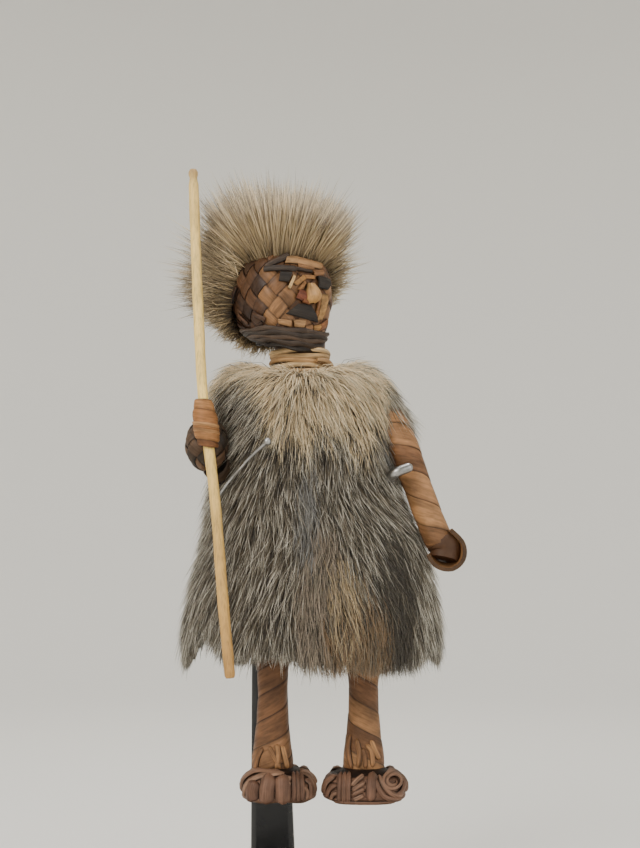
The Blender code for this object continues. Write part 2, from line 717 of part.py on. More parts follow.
def lashing_mesh(grow=0.0, bore=True):
    """A sleeve of strips round the staff, swollen at its middle."""
    low, high = LASHING_ENDS
    count = 6
    path = [staff_at(low + (high - low) * i / (count - 1)) for i in range(count)]
    outer, inner = [], []
    for i, (point, side, lift) in enumerate(ring_frames(path)):
        swell = LASHING_SWELL * math.sin(math.pi * i / (count - 1))
        angles = [2 * math.pi * k / 12 for k in range(12)]
        ways = [side * math.cos(a) + lift * math.sin(a) for a in angles]
        wall = LASHING_WALL + swell + grow + (LASHING_RIDGE if i % 2 else 0)
        outer.append([point + way * (STAFF_RADIUS + FIT_GAP + wall) for way in ways])
        inner.append([point + way * (STAFF_RADIUS + FIT_GAP) for way in ways])
    if not bore:
        return loft(outer)
    return loft(outer + inner[::-1], closed=True)


def fist_mesh(grow=0.0):
    rows, columns = 7, 9

    def ring_at(share, angle):
        latitude = math.radians(-70 + 140 * share)
        half_x, half_y, half_h = FIST_HALF
        x, y, h = FIST_MIDDLE
        round_x = half_x * math.cos(latitude) * UNIT + grow
        round_y = half_y * math.cos(latitude) * UNIT + grow
        tall = (half_h * UNIT + grow) / UNIT
        return oval(at(x, y, h + tall * math.sin(latitude)), round_x, round_y, angle, 2.3)

    return plaited_loft(ring_at, rows, columns, 0 if grow else PLAIT_RELIEF)


def build_right_arm():
    arm = plaited_arm("right_arm", RIGHT_ARM, RIGHT_ARM_ROWS)
    boolean(arm, make_object("fist_joiner", fist_mesh(), ROOT, helper=True), "UNION")
    cutter = make_object("lashing_cutter", lashing_mesh(2 * FIT_GAP, bore=False), ROOT, helper=True)
    boolean(arm, cutter)
    staff_cutter = tube(staff_path(STAFF_POINTS), [STAFF_RADIUS + 2 * FIT_GAP] * STAFF_POINTS, 10)
    boolean(arm, make_object("staff_cutter", staff_cutter, ROOT, helper=True))
    make_object("hand_lashing", lashing_mesh(), ROOT)
    return arm


FOOT_HALF = {"right": (10.7, 9.2), "left": (11.9, 9.4)}
FOOT_MIDDLE = {"right": -8.6, "left": 15.3}
FOOT_HEIGHT = 8.6
FOOT_COLUMNS = 20
FOOT_FORWARD = -1.8


def build_foot(side):
    """An oval pad of strips wound in rounds, dished for the ankle."""
    half_x, half_y = FOOT_HALF[side]
    section = ((0, 0.88), (0.16, 0.98), (0.32, 0.93), (0.5, 1.0), (0.66, 0.92), (0.84, 0.84), (1, 0.6))
    rings = []
    for rise, fullness in section:
        ring = []
        for i in range(FOOT_COLUMNS):
            angle = 2 * math.pi * i / FOOT_COLUMNS
            knuckle = 1 + 0.03 * math.cos(angle * 6)
            middle = at(FOOT_MIDDLE[side], FOOT_FORWARD, rise * FOOT_HEIGHT)
            size = fullness * knuckle * UNIT
            ring.append(oval(middle, half_x * size, half_y * size, angle, 2.6))
        rings.append(ring)
    foot = make_object(f"{side}_foot", loft(rings), ROOT)
    cutter = make_object(f"{side}_ankle_cutter", leg_mesh(LEGS[side], 2 * FIT_GAP), ROOT, helper=True)
    boolean(foot, cutter)
    return foot


# Assembly

post = build_stand()
body = build_body()
build_neck_wrap()
build_head()
build_hair()
left_arm = build_left_arm()
right_arm = build_right_arm()
build_staff()
for foot_side in LEGS:
    build_foot(foot_side)
arm_openings = [
    arm_cutter("left_arm_cutter", LEFT_ARM, LEFT_ARM_ROWS),
    arm_cutter("right_arm_cutter", RIGHT_ARM, RIGHT_ARM_ROWS),
]
fist_room = make_object("fist_cutter", fist_mesh(PLAIT_RELIEF + 3 * FIT_GAP), ROOT, helper=True)
boolean(arm_openings[1], fist_room, "UNION")
pelt = build_cloak(arm_openings + [trunk_room()])
for opening in arm_openings:
    boolean(body, opening)
boolean(pelt, knot_end("knot_cutter", FIT_GAP))
build_cradle(post, pelt)
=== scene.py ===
"""Looks of a small doll plaited from split roots, with fur hair, a fur cloak and a staff, on its stand.

The doll's own grid is in millimetres: x across, y back and h up from the soles, and it faces -Y.
"""

import math

import bmesh
import bpy
import numpy as np
from mathutils import Matrix, Vector


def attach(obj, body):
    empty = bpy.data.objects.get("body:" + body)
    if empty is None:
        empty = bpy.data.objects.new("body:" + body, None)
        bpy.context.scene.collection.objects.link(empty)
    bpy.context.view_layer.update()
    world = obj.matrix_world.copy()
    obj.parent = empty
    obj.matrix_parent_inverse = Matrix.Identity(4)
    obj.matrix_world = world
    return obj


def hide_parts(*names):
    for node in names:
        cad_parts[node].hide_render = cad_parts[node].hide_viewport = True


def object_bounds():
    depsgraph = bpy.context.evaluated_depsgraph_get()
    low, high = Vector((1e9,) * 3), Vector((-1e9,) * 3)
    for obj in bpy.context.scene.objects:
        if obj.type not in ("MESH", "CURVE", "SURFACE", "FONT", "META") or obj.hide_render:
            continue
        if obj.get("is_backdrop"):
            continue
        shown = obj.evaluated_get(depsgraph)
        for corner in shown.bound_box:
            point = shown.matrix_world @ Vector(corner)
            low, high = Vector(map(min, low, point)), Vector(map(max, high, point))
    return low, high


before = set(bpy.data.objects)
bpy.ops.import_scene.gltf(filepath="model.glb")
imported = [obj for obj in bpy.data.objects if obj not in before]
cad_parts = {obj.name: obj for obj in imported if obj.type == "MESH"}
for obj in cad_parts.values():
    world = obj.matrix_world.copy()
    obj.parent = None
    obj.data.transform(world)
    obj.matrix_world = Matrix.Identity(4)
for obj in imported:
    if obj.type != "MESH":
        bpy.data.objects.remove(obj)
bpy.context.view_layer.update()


# Stand. A turned steel disc and a flat tapered bar let into it, both sprayed gloss black.
# The bar stands behind the doll's right leg and carries the wires of the cradle.

MM = 0.001
SOLE_HEIGHT = 36
BASE_RADIUS = 46
BASE_THICKNESS = 6
BASE_BEVEL = 1
SOCKET_DEPTH = 2
POST_LEFT = -18.2
POST_FOOT_WIDTH = 13.6
POST_TOP_WIDTH = 8
POST_DEPTH = 8
POST_MIDDLE_Y = 33
POST_CHAMFER = 1.6
POST_EDGE = 0.25
WIRE_H = 85
POST_ABOVE_WIRE = 5


def at(x, y, h):
    """A point of the doll's grid in metres."""
    return Vector((x, y, SOLE_HEIGHT + h)) * MM


def node(tree, kind, inputs=(), **settings):
    """A shader node with its settings, its inputs set to values or joined to other nodes' outputs."""
    made = tree.nodes.new("ShaderNode" + kind)
    for key, value in settings.items():
        setattr(made, key, value)
    for key, value in dict(inputs).items():
        if isinstance(value, bpy.types.NodeSocket):
            tree.links.new(value, made.inputs[key])
        else:
            made.inputs[key].default_value = value
    return made


def ramp(tree, factor, stops, interpolation="LINEAR"):
    """A colour read off (place, colour) stops, where a colour is three numbers or one grey."""
    made = node(tree, "ValToRGB", {"Fac": factor})
    band = made.color_ramp
    band.interpolation = interpolation
    while len(band.elements) < len(stops):
        band.elements.new(0.5)
    for element, (place, colour) in zip(band.elements, stops):
        element.position = place
        element.color = (*colour, 1) if hasattr(colour, "__len__") else (colour, colour, colour, 1)
    return made.outputs["Color"]


def noise(tree, vector, scale, detail=4, roughness=0.55):
    made = node(tree, "TexNoise",
                {"Vector": vector, "Scale": scale, "Detail": detail, "Roughness": roughness})
    return made.outputs["Fac"]


def mixed(tree, factor, first, second, blend_type="MIX"):
    made = node(tree, "Mix", data_type="RGBA", blend_type=blend_type)
    for socket, value in ((made.inputs[0], factor), (made.inputs[6], first), (made.inputs[7], second)):
        if isinstance(value, bpy.types.NodeSocket):
            tree.links.new(value, socket)
        elif socket.type == "RGBA":
            socket.default_value = (*value, 1)
        else:
            socket.default_value = value
    return made.outputs[2]


def tinted(tree, colour, tint):
    return mixed(tree, 1.0, colour, tint, "MULTIPLY")


def new_material(name, roughness, **sockets):
    """A material with its Principled shader; further sockets are named with _ for a space."""
    material = bpy.data.materials.new(name)
    material.use_nodes = True
    tree = material.node_tree
    shader = tree.nodes["Principled BSDF"]
    shader.inputs["Roughness"].default_value = roughness
    for key, value in sockets.items():
        shader.inputs[key.replace("_", " ")].default_value = value
    return material, tree, shader


def relief(tree, shader, height, strength, distance):
    bump = node(tree, "Bump", {"Height": height, "Strength": strength, "Distance": distance})
    tree.links.new(bump.outputs["Normal"], shader.inputs["Normal"])


def gloss_black_paint():
    material, tree, shader = new_material("gloss_black_paint", 0.2, Specular_IOR_Level=0.3,
                                          Coat_Weight=0.12, Coat_Roughness=0.1)
    place = node(tree, "TexCoord").outputs["Object"]
    haze = noise(tree, place, 90, 6)
    tree.links.new(ramp(tree, haze, ((0.4, (0.005, 0.005, 0.0055)), (0.75, (0.010, 0.010, 0.011)))),
                   shader.inputs["Base Color"])
    tree.links.new(ramp(tree, haze, ((0.35, 0.16), (0.7, 0.34))), shader.inputs["Roughness"])
    relief(tree, shader, noise(tree, place, 900, 2), 0.08, 0.0002)
    return material


def mesh_from(bm, name):
    """A mesh made from a finished bmesh, with its faces turned outwards."""
    bmesh.ops.recalc_face_normals(bm, faces=bm.faces[:])
    mesh = bpy.data.meshes.new(name)
    bm.to_mesh(mesh)
    bm.free()
    return mesh


def add_piece(name, mesh, material, slot, *nodes):
    """A smooth piece that rides on the part's one body, with the solids named, if any, hidden in its place.
    """
    mesh.materials.clear()
    mesh.materials.append(material)
    piece = bpy.data.objects.new(name, mesh)
    bpy.context.scene.collection.objects.link(piece)
    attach(piece, "root")
    if nodes:
        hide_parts(*nodes)


def set_piece(name, bm, material, slot, *nodes, sharp=40):
    """A piece from a finished bmesh, smooth where its faces meet at less than so many degrees."""
    mesh = mesh_from(bm, name)
    mesh.shade_smooth()
    mesh.set_sharp_from_angle(angle=math.radians(sharp))
    add_piece(name, mesh, material, slot, *nodes)


def verts_of(geometry):
    return [part for part in geometry if isinstance(part, bmesh.types.BMVert)]


def faces_of(geometry):
    return [part for part in geometry if isinstance(part, bmesh.types.BMFace)]


PAINT = gloss_black_paint()

bm = bmesh.new()
bmesh.ops.create_circle(bm, cap_ends=True, segments=128, radius=BASE_RADIUS * MM)
top = verts_of(bmesh.ops.extrude_face_region(bm, geom=bm.faces[:])["geom"])
bmesh.ops.translate(bm, verts=top, vec=(0, 0, BASE_THICKNESS * MM))
rim = [edge for edge in bm.edges if edge.verts[0] in top and edge.verts[1] in top]
bmesh.ops.bevel(bm, geom=rim, offset=BASE_BEVEL * MM, segments=4, profile=0.5, affect="EDGES", material=-1)
set_piece("base_disc", bm, PAINT, "stand_black", "stand_base")


def post_corner(place, width, z):
    """One of the eight corners of the bar's chamfered section, whose left side is plumb."""
    side_x, side_y, first = ((-1, -1, 0), (-1, -1, 1), (1, -1, 1), (1, -1, 0),
                             (1, 1, 0), (1, 1, 1), (-1, 1, 1), (-1, 1, 0))[place]
    x = side_x * (width / 2 - (POST_CHAMFER if first else 0))
    y = side_y * (POST_DEPTH / 2 - (0 if first else POST_CHAMFER))
    return Vector((POST_LEFT + width / 2 + x, POST_MIDDLE_Y + y, z)) * MM


bm = bmesh.new()
post_top = SOLE_HEIGHT + WIRE_H + POST_ABOVE_WIRE
stations = ((BASE_THICKNESS - SOCKET_DEPTH, POST_FOOT_WIDTH),
            (BASE_THICKNESS + SOCKET_DEPTH, POST_FOOT_WIDTH),
            (post_top, POST_TOP_WIDTH), (post_top + POST_CHAMFER, POST_TOP_WIDTH - POST_CHAMFER))
corner_of = bm.verts.layers.int.new("corner")
for corner in range(8):
    bm.verts.new(post_corner(corner, stations[0][1], stations[0][0]))[corner_of] = corner
end = bm.faces.new(bm.verts[:])
for z, width in stations[1:]:
    made = bmesh.ops.extrude_face_region(bm, geom=[end, *end.edges])["geom"]
    end = faces_of(made)[0]
    for vert in end.verts:
        vert.co = post_corner(vert[corner_of], width, z)
bmesh.ops.recalc_face_normals(bm, faces=bm.faces[:])
bmesh.ops.bevel(bm, geom=bm.edges[:], offset=POST_EDGE * MM, segments=2, profile=0.5, affect="EDGES",
                material=-1)
set_piece("post_bar", bm, PAINT, "stand_black", "stand_post", sharp=25)


# Cradle. Two bright steel wires leave the bar and pass round the doll under its arms. The one on the
# staff's side ends in a bead over the chest, and the other in a short round-ended sleeve.

WIRE_RADIUS = 0.46
WIRE_POINTS = 90
WIRE_SIDES = 16
BEAD_RADIUS = 1.1
SLEEVE_RADIUS = 1.4
SLEEVE_LENGTH = 6.2
WIRE_POCKET = 2.5
STAFF_SIDE_ROUTE = ((-20.5, 33, 85), (-28, 28, 84.5), (-31.5, 16, 83), (-30.5, 2, 81.5), (-27, -10, 82.5),
                    (-22.5, -17.5, 88), (-17, -22, 94), (-12, -24.5, 98.4))
ARM_SIDE_ROUTE = ((-8, 33, 85), (4, 31, 84.5), (17, 26, 84), (25.5, 15, 84), (26.5, 4, 85),
                  (24.2, -5.5, 87), (22.2, -12.5, 89.2), (24, -16, 91), (27.3, -15.5, 92.4))


def blend(rows, key):
    """The row of numbers at a key, read off a smooth curve through a table's rows."""
    rows = sorted(rows)
    key = min(max(key, rows[0][0]), rows[-1][0])
    index = max(i for i, row in enumerate(rows[:-1]) if row[0] <= key)
    before, low = rows[max(index - 1, 0)], rows[index]
    high, after = rows[index + 1], rows[min(index + 2, len(rows) - 1)]
    t = (key - low[0]) / (high[0] - low[0])
    found = []
    for a, b, c, d in zip(before[1:], low[1:], high[1:], after[1:]):
        slope_in, slope_out = (c - a) / 2, (d - b) / 2
        found.append((2 * t**3 - 3 * t**2 + 1) * b + (t**3 - 2 * t**2 + t) * slope_in
                     + (3 * t**2 - 2 * t**3) * c + (t**3 - t**2) * slope_out)
    return found


def smooth_path(points, count):
    rows = [(i, *point) for i, point in enumerate(points)]
    return [Vector(blend(rows, i * (len(rows) - 1) / (count - 1))) for i in range(count)]


def ring_frames(path):
    """For each point of a path, two directions square to it that don't twist along it."""
    frames, side = [], None
    for i, point in enumerate(path):
        along = (path[min(i + 1, len(path) - 1)] - path[max(i - 1, 0)]).normalized()
        side = along.orthogonal() if side is None else side
        side = (side - along * side.dot(along)).normalized()
        frames.append((point, side, along.cross(side)))
    return frames


def new_bmesh():
    """A bmesh that keeps, for each point, its way along its strip in mm, across it, and its tone."""
    bm = bmesh.new()
    bm.verts.layers.float_vector.new("lay")
    return bm


def sweep(bm, path, radii, sides, tone=0.5):
    """A round rod: a disc pushed on from point to point of a path."""
    lay = bm.verts.layers.float_vector["lay"]
    frames = ring_frames(path)
    disc = bmesh.ops.create_circle(bm, cap_ends=True, segments=sides, radius=1)["verts"]
    end = disc[0].link_faces[0]
    for vert in disc:
        vert[lay] = (0, math.atan2(vert.co.y, vert.co.x) / math.pi, tone)
    way = 0
    for i, ((point, side, lift), radius) in enumerate(zip(frames, radii)):
        if i:
            end = faces_of(bmesh.ops.extrude_face_region(bm, geom=[end, *end.edges])["geom"])[0]
            way += (path[i] - path[i - 1]).length / MM
        for vert in end.verts:
            angle = vert[lay][1] * math.pi
            vert.co = point + (side * math.cos(angle) + lift * math.sin(angle)) * radius
            vert[lay] = (way, vert[lay][1], tone)


def steel_wire():
    material, tree, shader = new_material("bright_steel_wire", 0.3, Metallic=1.0)
    place = node(tree, "TexCoord").outputs["Object"]
    smear = noise(tree, place, 260, 5)
    tree.links.new(ramp(tree, smear, ((0.3, (0.20, 0.20, 0.19)), (0.7, (0.44, 0.43, 0.42)))),
                   shader.inputs["Base Color"])
    tree.links.new(ramp(tree, smear, ((0.3, 0.42), (0.7, 0.24))), shader.inputs["Roughness"])
    relief(tree, shader, noise(tree, place, 2600, 2), 0.15, 0.0001)
    return material


def prong(name, route, root_x, sleeve_length, node_name):
    path = [at(root_x, POST_MIDDLE_Y, WIRE_H)] + smooth_path([at(*point) for point in route], WIRE_POINTS)
    radii = [WIRE_RADIUS * MM] * len(path)
    end, along = path[-1], (path[-1] - path[-2]).normalized()
    bead = (SLEEVE_RADIUS if sleeve_length else BEAD_RADIUS) * MM
    if sleeve_length:
        start = max(i for i, point in enumerate(path) if (end - point).length > sleeve_length * MM)
        path[start + 1:start + 1] = [path[start] + along * 0.02 * MM, path[start] + along * 0.3 * MM]
        radii = radii[:start + 1] + [bead * 0.8] + [bead] * (len(path) - start - 2)
    for step in range(8 if sleeve_length else 5, 16):
        angle = math.pi * step / 16
        path.append(end + along * bead * ((0.02 if sleeve_length else 0.85) - math.cos(angle)))
        radii.append(bead * math.sin(angle))
    bm = new_bmesh()
    sweep(bm, path, radii, WIRE_SIDES)
    set_piece(name, bm, STEEL, "cradle_steel", node_name)


STEEL = steel_wire()
wire_right_face = POST_LEFT + POST_TOP_WIDTH + (POST_FOOT_WIDTH - POST_TOP_WIDTH) * (
    POST_ABOVE_WIRE / (SOLE_HEIGHT + WIRE_H + POST_ABOVE_WIRE))
prong("wire_with_bead", STAFF_SIDE_ROUTE, POST_LEFT + WIRE_POCKET, 0, "cradle_prong_staff_side")
prong("wire_with_sleeve", ARM_SIDE_ROUTE, wire_right_face - WIRE_POCKET, SLEEVE_LENGTH,
      "cradle_prong_arm_side")


# Trunk and legs. Split roots are plaited round the trunk, and each leg is bound with broad strips laid
# one over the edge of the next, over a bundle of fibre darkened with painted shade where it shows between
# them.

TRUNK = ((47, 2.3, 0, 12, 7.5), (53, 2.3, 0, 15, 9), (66, 1.5, 0, 15, 10), (88, 0, 0, 14.5, 10.5),
         (106, -1.5, 0, 17, 10.5), (112, -2, 0, 17.5, 10), (117, -2.6, 0, 12.5, 8.8),
         (119.5, -3, 0, 8, 7.8))
LEGS = {"right": -10.6, "left": 15.3}
LEG_TABLE = ((4.5, 4.9, 4.6), (8, 5.6, 5.2), (12, 5.4, 4.9), (16, 4.8, 4.5),
             (22, 4.2, 4.2), (30, 3.9, 4.1), (42, 4.8, 4.8), (56, 6.2, 6.0))
NECK_RADIUS = 7.4
NECK_MIDDLE_X = -3
NECK_TOP = 126.6
STRIP_THICKNESS = 0.45


def root_strips(name, shades, gloss=0.5):
    """Split root: a colour for each strip from its tone, fibre streaks along it, and painted shade at its
    sunk edges.
    """
    material, tree, shader = new_material(name, gloss, Specular_IOR_Level=0.28)
    lay = node(tree, "Attribute", attribute_name="lay").outputs["Vector"]
    parts = node(tree, "SeparateXYZ", {"Vector": lay})
    along, across, tone = parts.outputs
    place = node(tree, "TexCoord").outputs["Object"]

    def stretched(along_scale, across_scale):
        scaled = node(tree, "VectorMath", {0: lay, 1: (along_scale, across_scale, 61.0)},
                      operation="MULTIPLY")
        return scaled.outputs["Vector"]

    fibre = noise(tree, stretched(0.22, 5.0), 1.0, 5, 0.6)
    broad = noise(tree, stretched(0.09, 1.1), 1.0, 3)
    colour = ramp(tree, tone, [(i / (len(shades) - 1), shade) for i, shade in enumerate(shades)])
    colour = tinted(tree, colour, ramp(tree, broad, ((0.3, 0.6), (0.72, 1.35))))
    colour = tinted(tree, colour, ramp(tree, fibre, ((0.3, 0.66), (0.5, 1.0), (0.75, 1.32))))
    dirt = ramp(tree, noise(tree, place, 190, 5), ((0.32, 0.7), (0.6, 1.08)))
    colour = tinted(tree, colour, dirt)
    # Painted shade: each strip is darkened towards its edges, where it sinks under its neighbours.
    edge = node(tree, "Math", {0: across}, operation="ABSOLUTE").outputs["Value"]
    colour = tinted(tree, colour, ramp(tree, edge, ((0.72, 1.0), (0.86, 0.8), (1.0, 0.22))))
    tree.links.new(colour, shader.inputs["Base Color"])
    tree.links.new(ramp(tree, fibre, ((0.3, gloss + 0.16), (0.7, gloss - 0.06))),
                   shader.inputs["Roughness"])
    relief(tree, shader, fibre, 0.45, 0.00022)
    return material


def lay_strip(bm, place, steps, columns, length, tone, thickness=STRIP_THICKNESS):
    """A strip: a flat grid given a thickness, whose points go to place(along, across, out)."""
    lay = bm.verts.layers.float_vector["lay"]
    low = bmesh.ops.create_grid(bm, x_segments=steps, y_segments=columns, size=1)["verts"]
    sheet = list({face for vert in low for face in vert.link_faces})
    high = verts_of(bmesh.ops.extrude_face_region(bm, geom=sheet)["geom"])
    for verts, out in ((low, 0.0), (high, thickness)):
        for vert in verts:
            along, across = (vert.co.x + 1) / 2, vert.co.y
            vert.co = place(along, across, out)
            vert[lay] = (along * length, across, tone)


def wandering(seed):
    """Numbers from 0 to 1, the same on each run."""
    return np.random.default_rng(seed).random


def plait(bm, surface, low, high, count, period, seed, tone_at=None):
    """Strips plaited both ways on the slant round a surface(turn, rise, out): a pad for each place where
    one of them shows on top, sunk at its two ends where it goes under its neighbours."""
    chance = wandering(seed)
    tones = [[chance() for _ in range(count)] for _ in range(2)]
    for row in range(round(2 * (high - low) / period) + 1):
        slope = 1 if row % 2 else -1
        for column in range(count):
            middle_turn = (column + 0.5 * (row % 2)) / count
            middle_rise = low + row * period / 2
            tone = tones[row % 2][round(middle_turn * count - slope * row / 2) % count]
            tone = min(1, max(0, tone + 0.16 * (chance() - 0.5)))
            lift = 0.16 * (chance() - 0.5)
            if tone_at:
                tone = tone_at(middle_turn, middle_rise, tone)

            def place(along, across, out):
                own, ahead = across * 0.47, (along - 0.5) * 1.16
                turn = middle_turn + (ahead + own) * 0.5 / count
                rise = middle_rise + slope * (ahead - own) * 0.5 * period
                sunk = 0.5 * abs(2 * along - 1) ** 3 + 0.2 * across * across
                return surface(turn, rise, out - 0.12 + lift - sunk)

            lay_strip(bm, place, 6, 4, period * 0.8, tone)


def bind(bm, surface, low, high, width, seed, lean=1, start=0.0, tones=(0, 1), strips=1, lap=1.12,
         around=28):
    """Strips wound side by side round a limb, each with its edge a little over the edge of the last."""
    chance = wandering(seed)
    pitch = width * strips
    for strip in range(strips):
        for turn in range(-1, math.ceil((high - low) / pitch)):
            tone = tones[0] + (tones[1] - tones[0]) * chance()

            def place(along, across, out):
                way = turn + along * 1.01
                rise = low + way * pitch + (strip + 0.5 + across * lap / 2) * width
                held = min(max(rise, low), high)
                level = 0.1 * across - 0.12 * across * across - (0.3 if held != rise else 0)
                return surface(lean * way + start, held, out + level)

            lay_strip(bm, place, 26, 4, around, tone, 0.34)


def laid_strip(bm, skin, points, half_width, tone, lift=0.1, steps=14):
    """A narrow strip, rounded on top, laid along (x, h) points of a skin(x, h, out), its ends tucked in."""
    path = smooth_path([(x, h, 0) for x, h in points], steps + 1)
    length = sum((b - a).length for a, b in zip(path, path[1:]))

    def place(along, across, out):
        share = along * steps
        index = min(int(share), steps - 1)
        here = path[index].lerp(path[index + 1], share - index)
        ahead = (path[index + 1] - path[index]).normalized()
        wide = across * half_width * min(1, 0.4 + 4 * min(along, 1 - along))
        crown = 0.6 * half_width * (1 - across * across) - 0.7 * abs(2 * along - 1) ** 7
        return skin(here.x - ahead.y * wide, here.y + ahead.x * wide, lift + out + crown)

    lay_strip(bm, place, steps, 4, length, tone, 0.4)


def oval(centre, half_x, half_y, angle, squareness=2.2):
    c, s = math.cos(angle), math.sin(angle)
    reach = (abs(c) ** squareness + abs(s) ** squareness) ** (-1 / squareness)
    return centre + Vector((half_x * reach * c, half_y * reach * s, 0))


def trunk_surface(turn, rise, out):
    x, y, half_x, half_y = blend(TRUNK, rise)
    return oval(at(x, y, rise), (half_x + out) * MM, (half_y + out) * MM, 2 * math.pi * turn)


def leg_surface(side):
    def surface(turn, rise, out):
        half_x, half_y = blend(LEG_TABLE, rise)
        return oval(at(LEGS[side], 0, rise), (half_x + out) * MM, (half_y + out) * MM, 2 * math.pi * turn)

    return surface


def leg_front(side, facing=-1):
    """The same skin by mm across the leg's front, or its back, and height."""
    def skin(x, h, out):
        half_x, half_y = blend(LEG_TABLE, h)
        share = max(-0.97, min(0.97, x / half_x))
        return oval(at(LEGS[side], 0, h), (half_x + out) * MM, (half_y + out) * MM,
                    facing * math.acos(share))

    return skin


def core(bm, surface, low, high, inset, stations=12, sides=24, tone=0, edge=1):
    """The bundle inside: a disc extruded along a limb, just under its strips. It takes a strip's tone,
    darkest unless one is given, and the painted shade of a strip's sunk edge unless edge is less than 1."""
    lay = bm.verts.layers.float_vector["lay"]
    disc = bmesh.ops.create_circle(bm, cap_ends=True, segments=sides, radius=1)["verts"]
    end = disc[0].link_faces[0]
    for vert in disc:
        # Painted shade: with edge at 1 the bundle is darkened like a strip's sunk edge, so the gaps between
        # strips look shaded.
        vert[lay] = (math.atan2(vert.co.y, vert.co.x) / (2 * math.pi), edge, tone)
    for i in range(stations + 1):
        if i:
            end = faces_of(bmesh.ops.extrude_face_region(bm, geom=[end, *end.edges])["geom"])[0]
        for vert in end.verts:
            vert.co = surface(vert[lay][0], low + (high - low) * i / stations, -inset)


ROOT = root_strips("tan_root_strips", ((0.055, 0.025, 0.012), (0.17, 0.078, 0.033), (0.37, 0.19, 0.08)))
DARK_ROOT = root_strips("dark_root_strips",
                        ((0.024, 0.018, 0.014), (0.055, 0.038, 0.028), (0.10, 0.062, 0.04)))
PALE_ROOT = root_strips("pale_root_strips", ((0.22, 0.105, 0.045), (0.44, 0.255, 0.11), (0.66, 0.46, 0.24)))

FOOT_ROOT = root_strips("pinkish_root_strips",
                        ((0.075, 0.036, 0.022), (0.17, 0.088, 0.054), (0.31, 0.185, 0.115)))

bm = new_bmesh()
core(bm, trunk_surface, TRUNK[0][0] + 0.5, TRUNK[-1][0], 0.6)
plait(bm, trunk_surface, TRUNK[0][0] + 2, TRUNK[-1][0] - 2, 12, 9, seed=11)
neck_path = [at(NECK_MIDDLE_X, 0, h) for h in (116, 120, 123, NECK_TOP, NECK_TOP + 3.4)]
sweep(bm, neck_path, [NECK_RADIUS * MM] * 5, 24, 0.2)
ANKLE_STRIPS = {
    "right": (((-2.4, 14.5), (-3.6, 11.5), (-4.2, 8)), ((-0.8, 15), (0.6, 12), (2.4, 8.5)),
              ((1.2, 15.5), (1.6, 12.5), (1.2, 8.6)), ((2.6, 15), (3.2, 12), (3.9, 8.5))),
    "left": (((-3.6, 18), (-3.9, 13.5), (-3.2, 8.5)), ((-2, 17), (-1.2, 13.2), (-1.5, 9)),
             ((0.4, 15.5), (1.8, 13.5), (2.2, 9)), ((1.7, 16.5), (2.6, 14), (3.8, 11)),
             ((-0.6, 14.5), (0.1, 12), (0.3, 8.8))),
}
for side, lean, seed, tones in (("right", 1, 21, (0.15, 0.62)), ("left", -1, 22, (0.3, 0.85))):
    surface = leg_surface(side)
    core(bm, surface, LEG_TABLE[0][0], LEG_TABLE[-1][0], 0.35)
    bind(bm, surface, 6.5, LEG_TABLE[-1][0], 7.2, seed, lean, 0.1, tones=tones, strips=2)
    for facing in (-1, 1):
        for number, points in enumerate(ANKLE_STRIPS[side]):
            laid_strip(bm, leg_front(side, facing), points, 0.6, 0.55 + 0.12 * (number % 4), 0.3)
set_piece("trunk_and_legs", bm, ROOT, "root_strip", "body")


# Feet. Each is an oval bundle of split root bound in rounds along its sole, with broad bands wrapped over
# its front, and narrow strip ends laid over them in fans. The left one has a strip coiled on it.

FOOT_HALF = {"right": (10.7, 9.2), "left": (11.9, 9.4)}
FOOT_MIDDLE = {"right": -8.6, "left": 15.3}
FOOT_FORWARD = -1.8
FOOT_HEIGHT = 8.6
FOOT_SQUARENESS = 2.6
FOOT_SECTION = ((0, 0.86), (0.1, 0.97), (0.32, 0.98), (0.55, 0.97), (0.75, 0.88), (0.9, 0.72), (1, 0.5))


def foot_surface(side):
    half_x, half_y = FOOT_HALF[side]

    def surface(turn, rise, out):
        fullness, = blend(FOOT_SECTION, rise)
        middle = at(FOOT_MIDDLE[side], FOOT_FORWARD, rise * FOOT_HEIGHT)
        return oval(middle, (half_x * fullness + out) * MM, (half_y * fullness + out) * MM,
                    2 * math.pi * turn, FOOT_SQUARENESS)

    return surface


def foot_front(side, facing=-1):
    """The foot's skin by mm from its middle and height, on its front or its back."""
    def skin(x, h, out):
        h = min(max(h, 0.4), FOOT_HEIGHT * 0.985)
        fullness, = blend(FOOT_SECTION, h / FOOT_HEIGHT)
        half_x, half_y = (half * fullness for half in FOOT_HALF[side])
        share = max(-0.985, min(0.985, x / half_x))
        y = facing * half_y * (1 - abs(share) ** FOOT_SQUARENESS) ** (1 / FOOT_SQUARENESS)
        away = Vector((share * abs(share) ** 0.6, y / half_y, 0.16 * (h - 3.5))).normalized()
        return at(FOOT_MIDDLE[side] + share * half_x, FOOT_FORWARD + y, h) + away * out * MM

    return skin


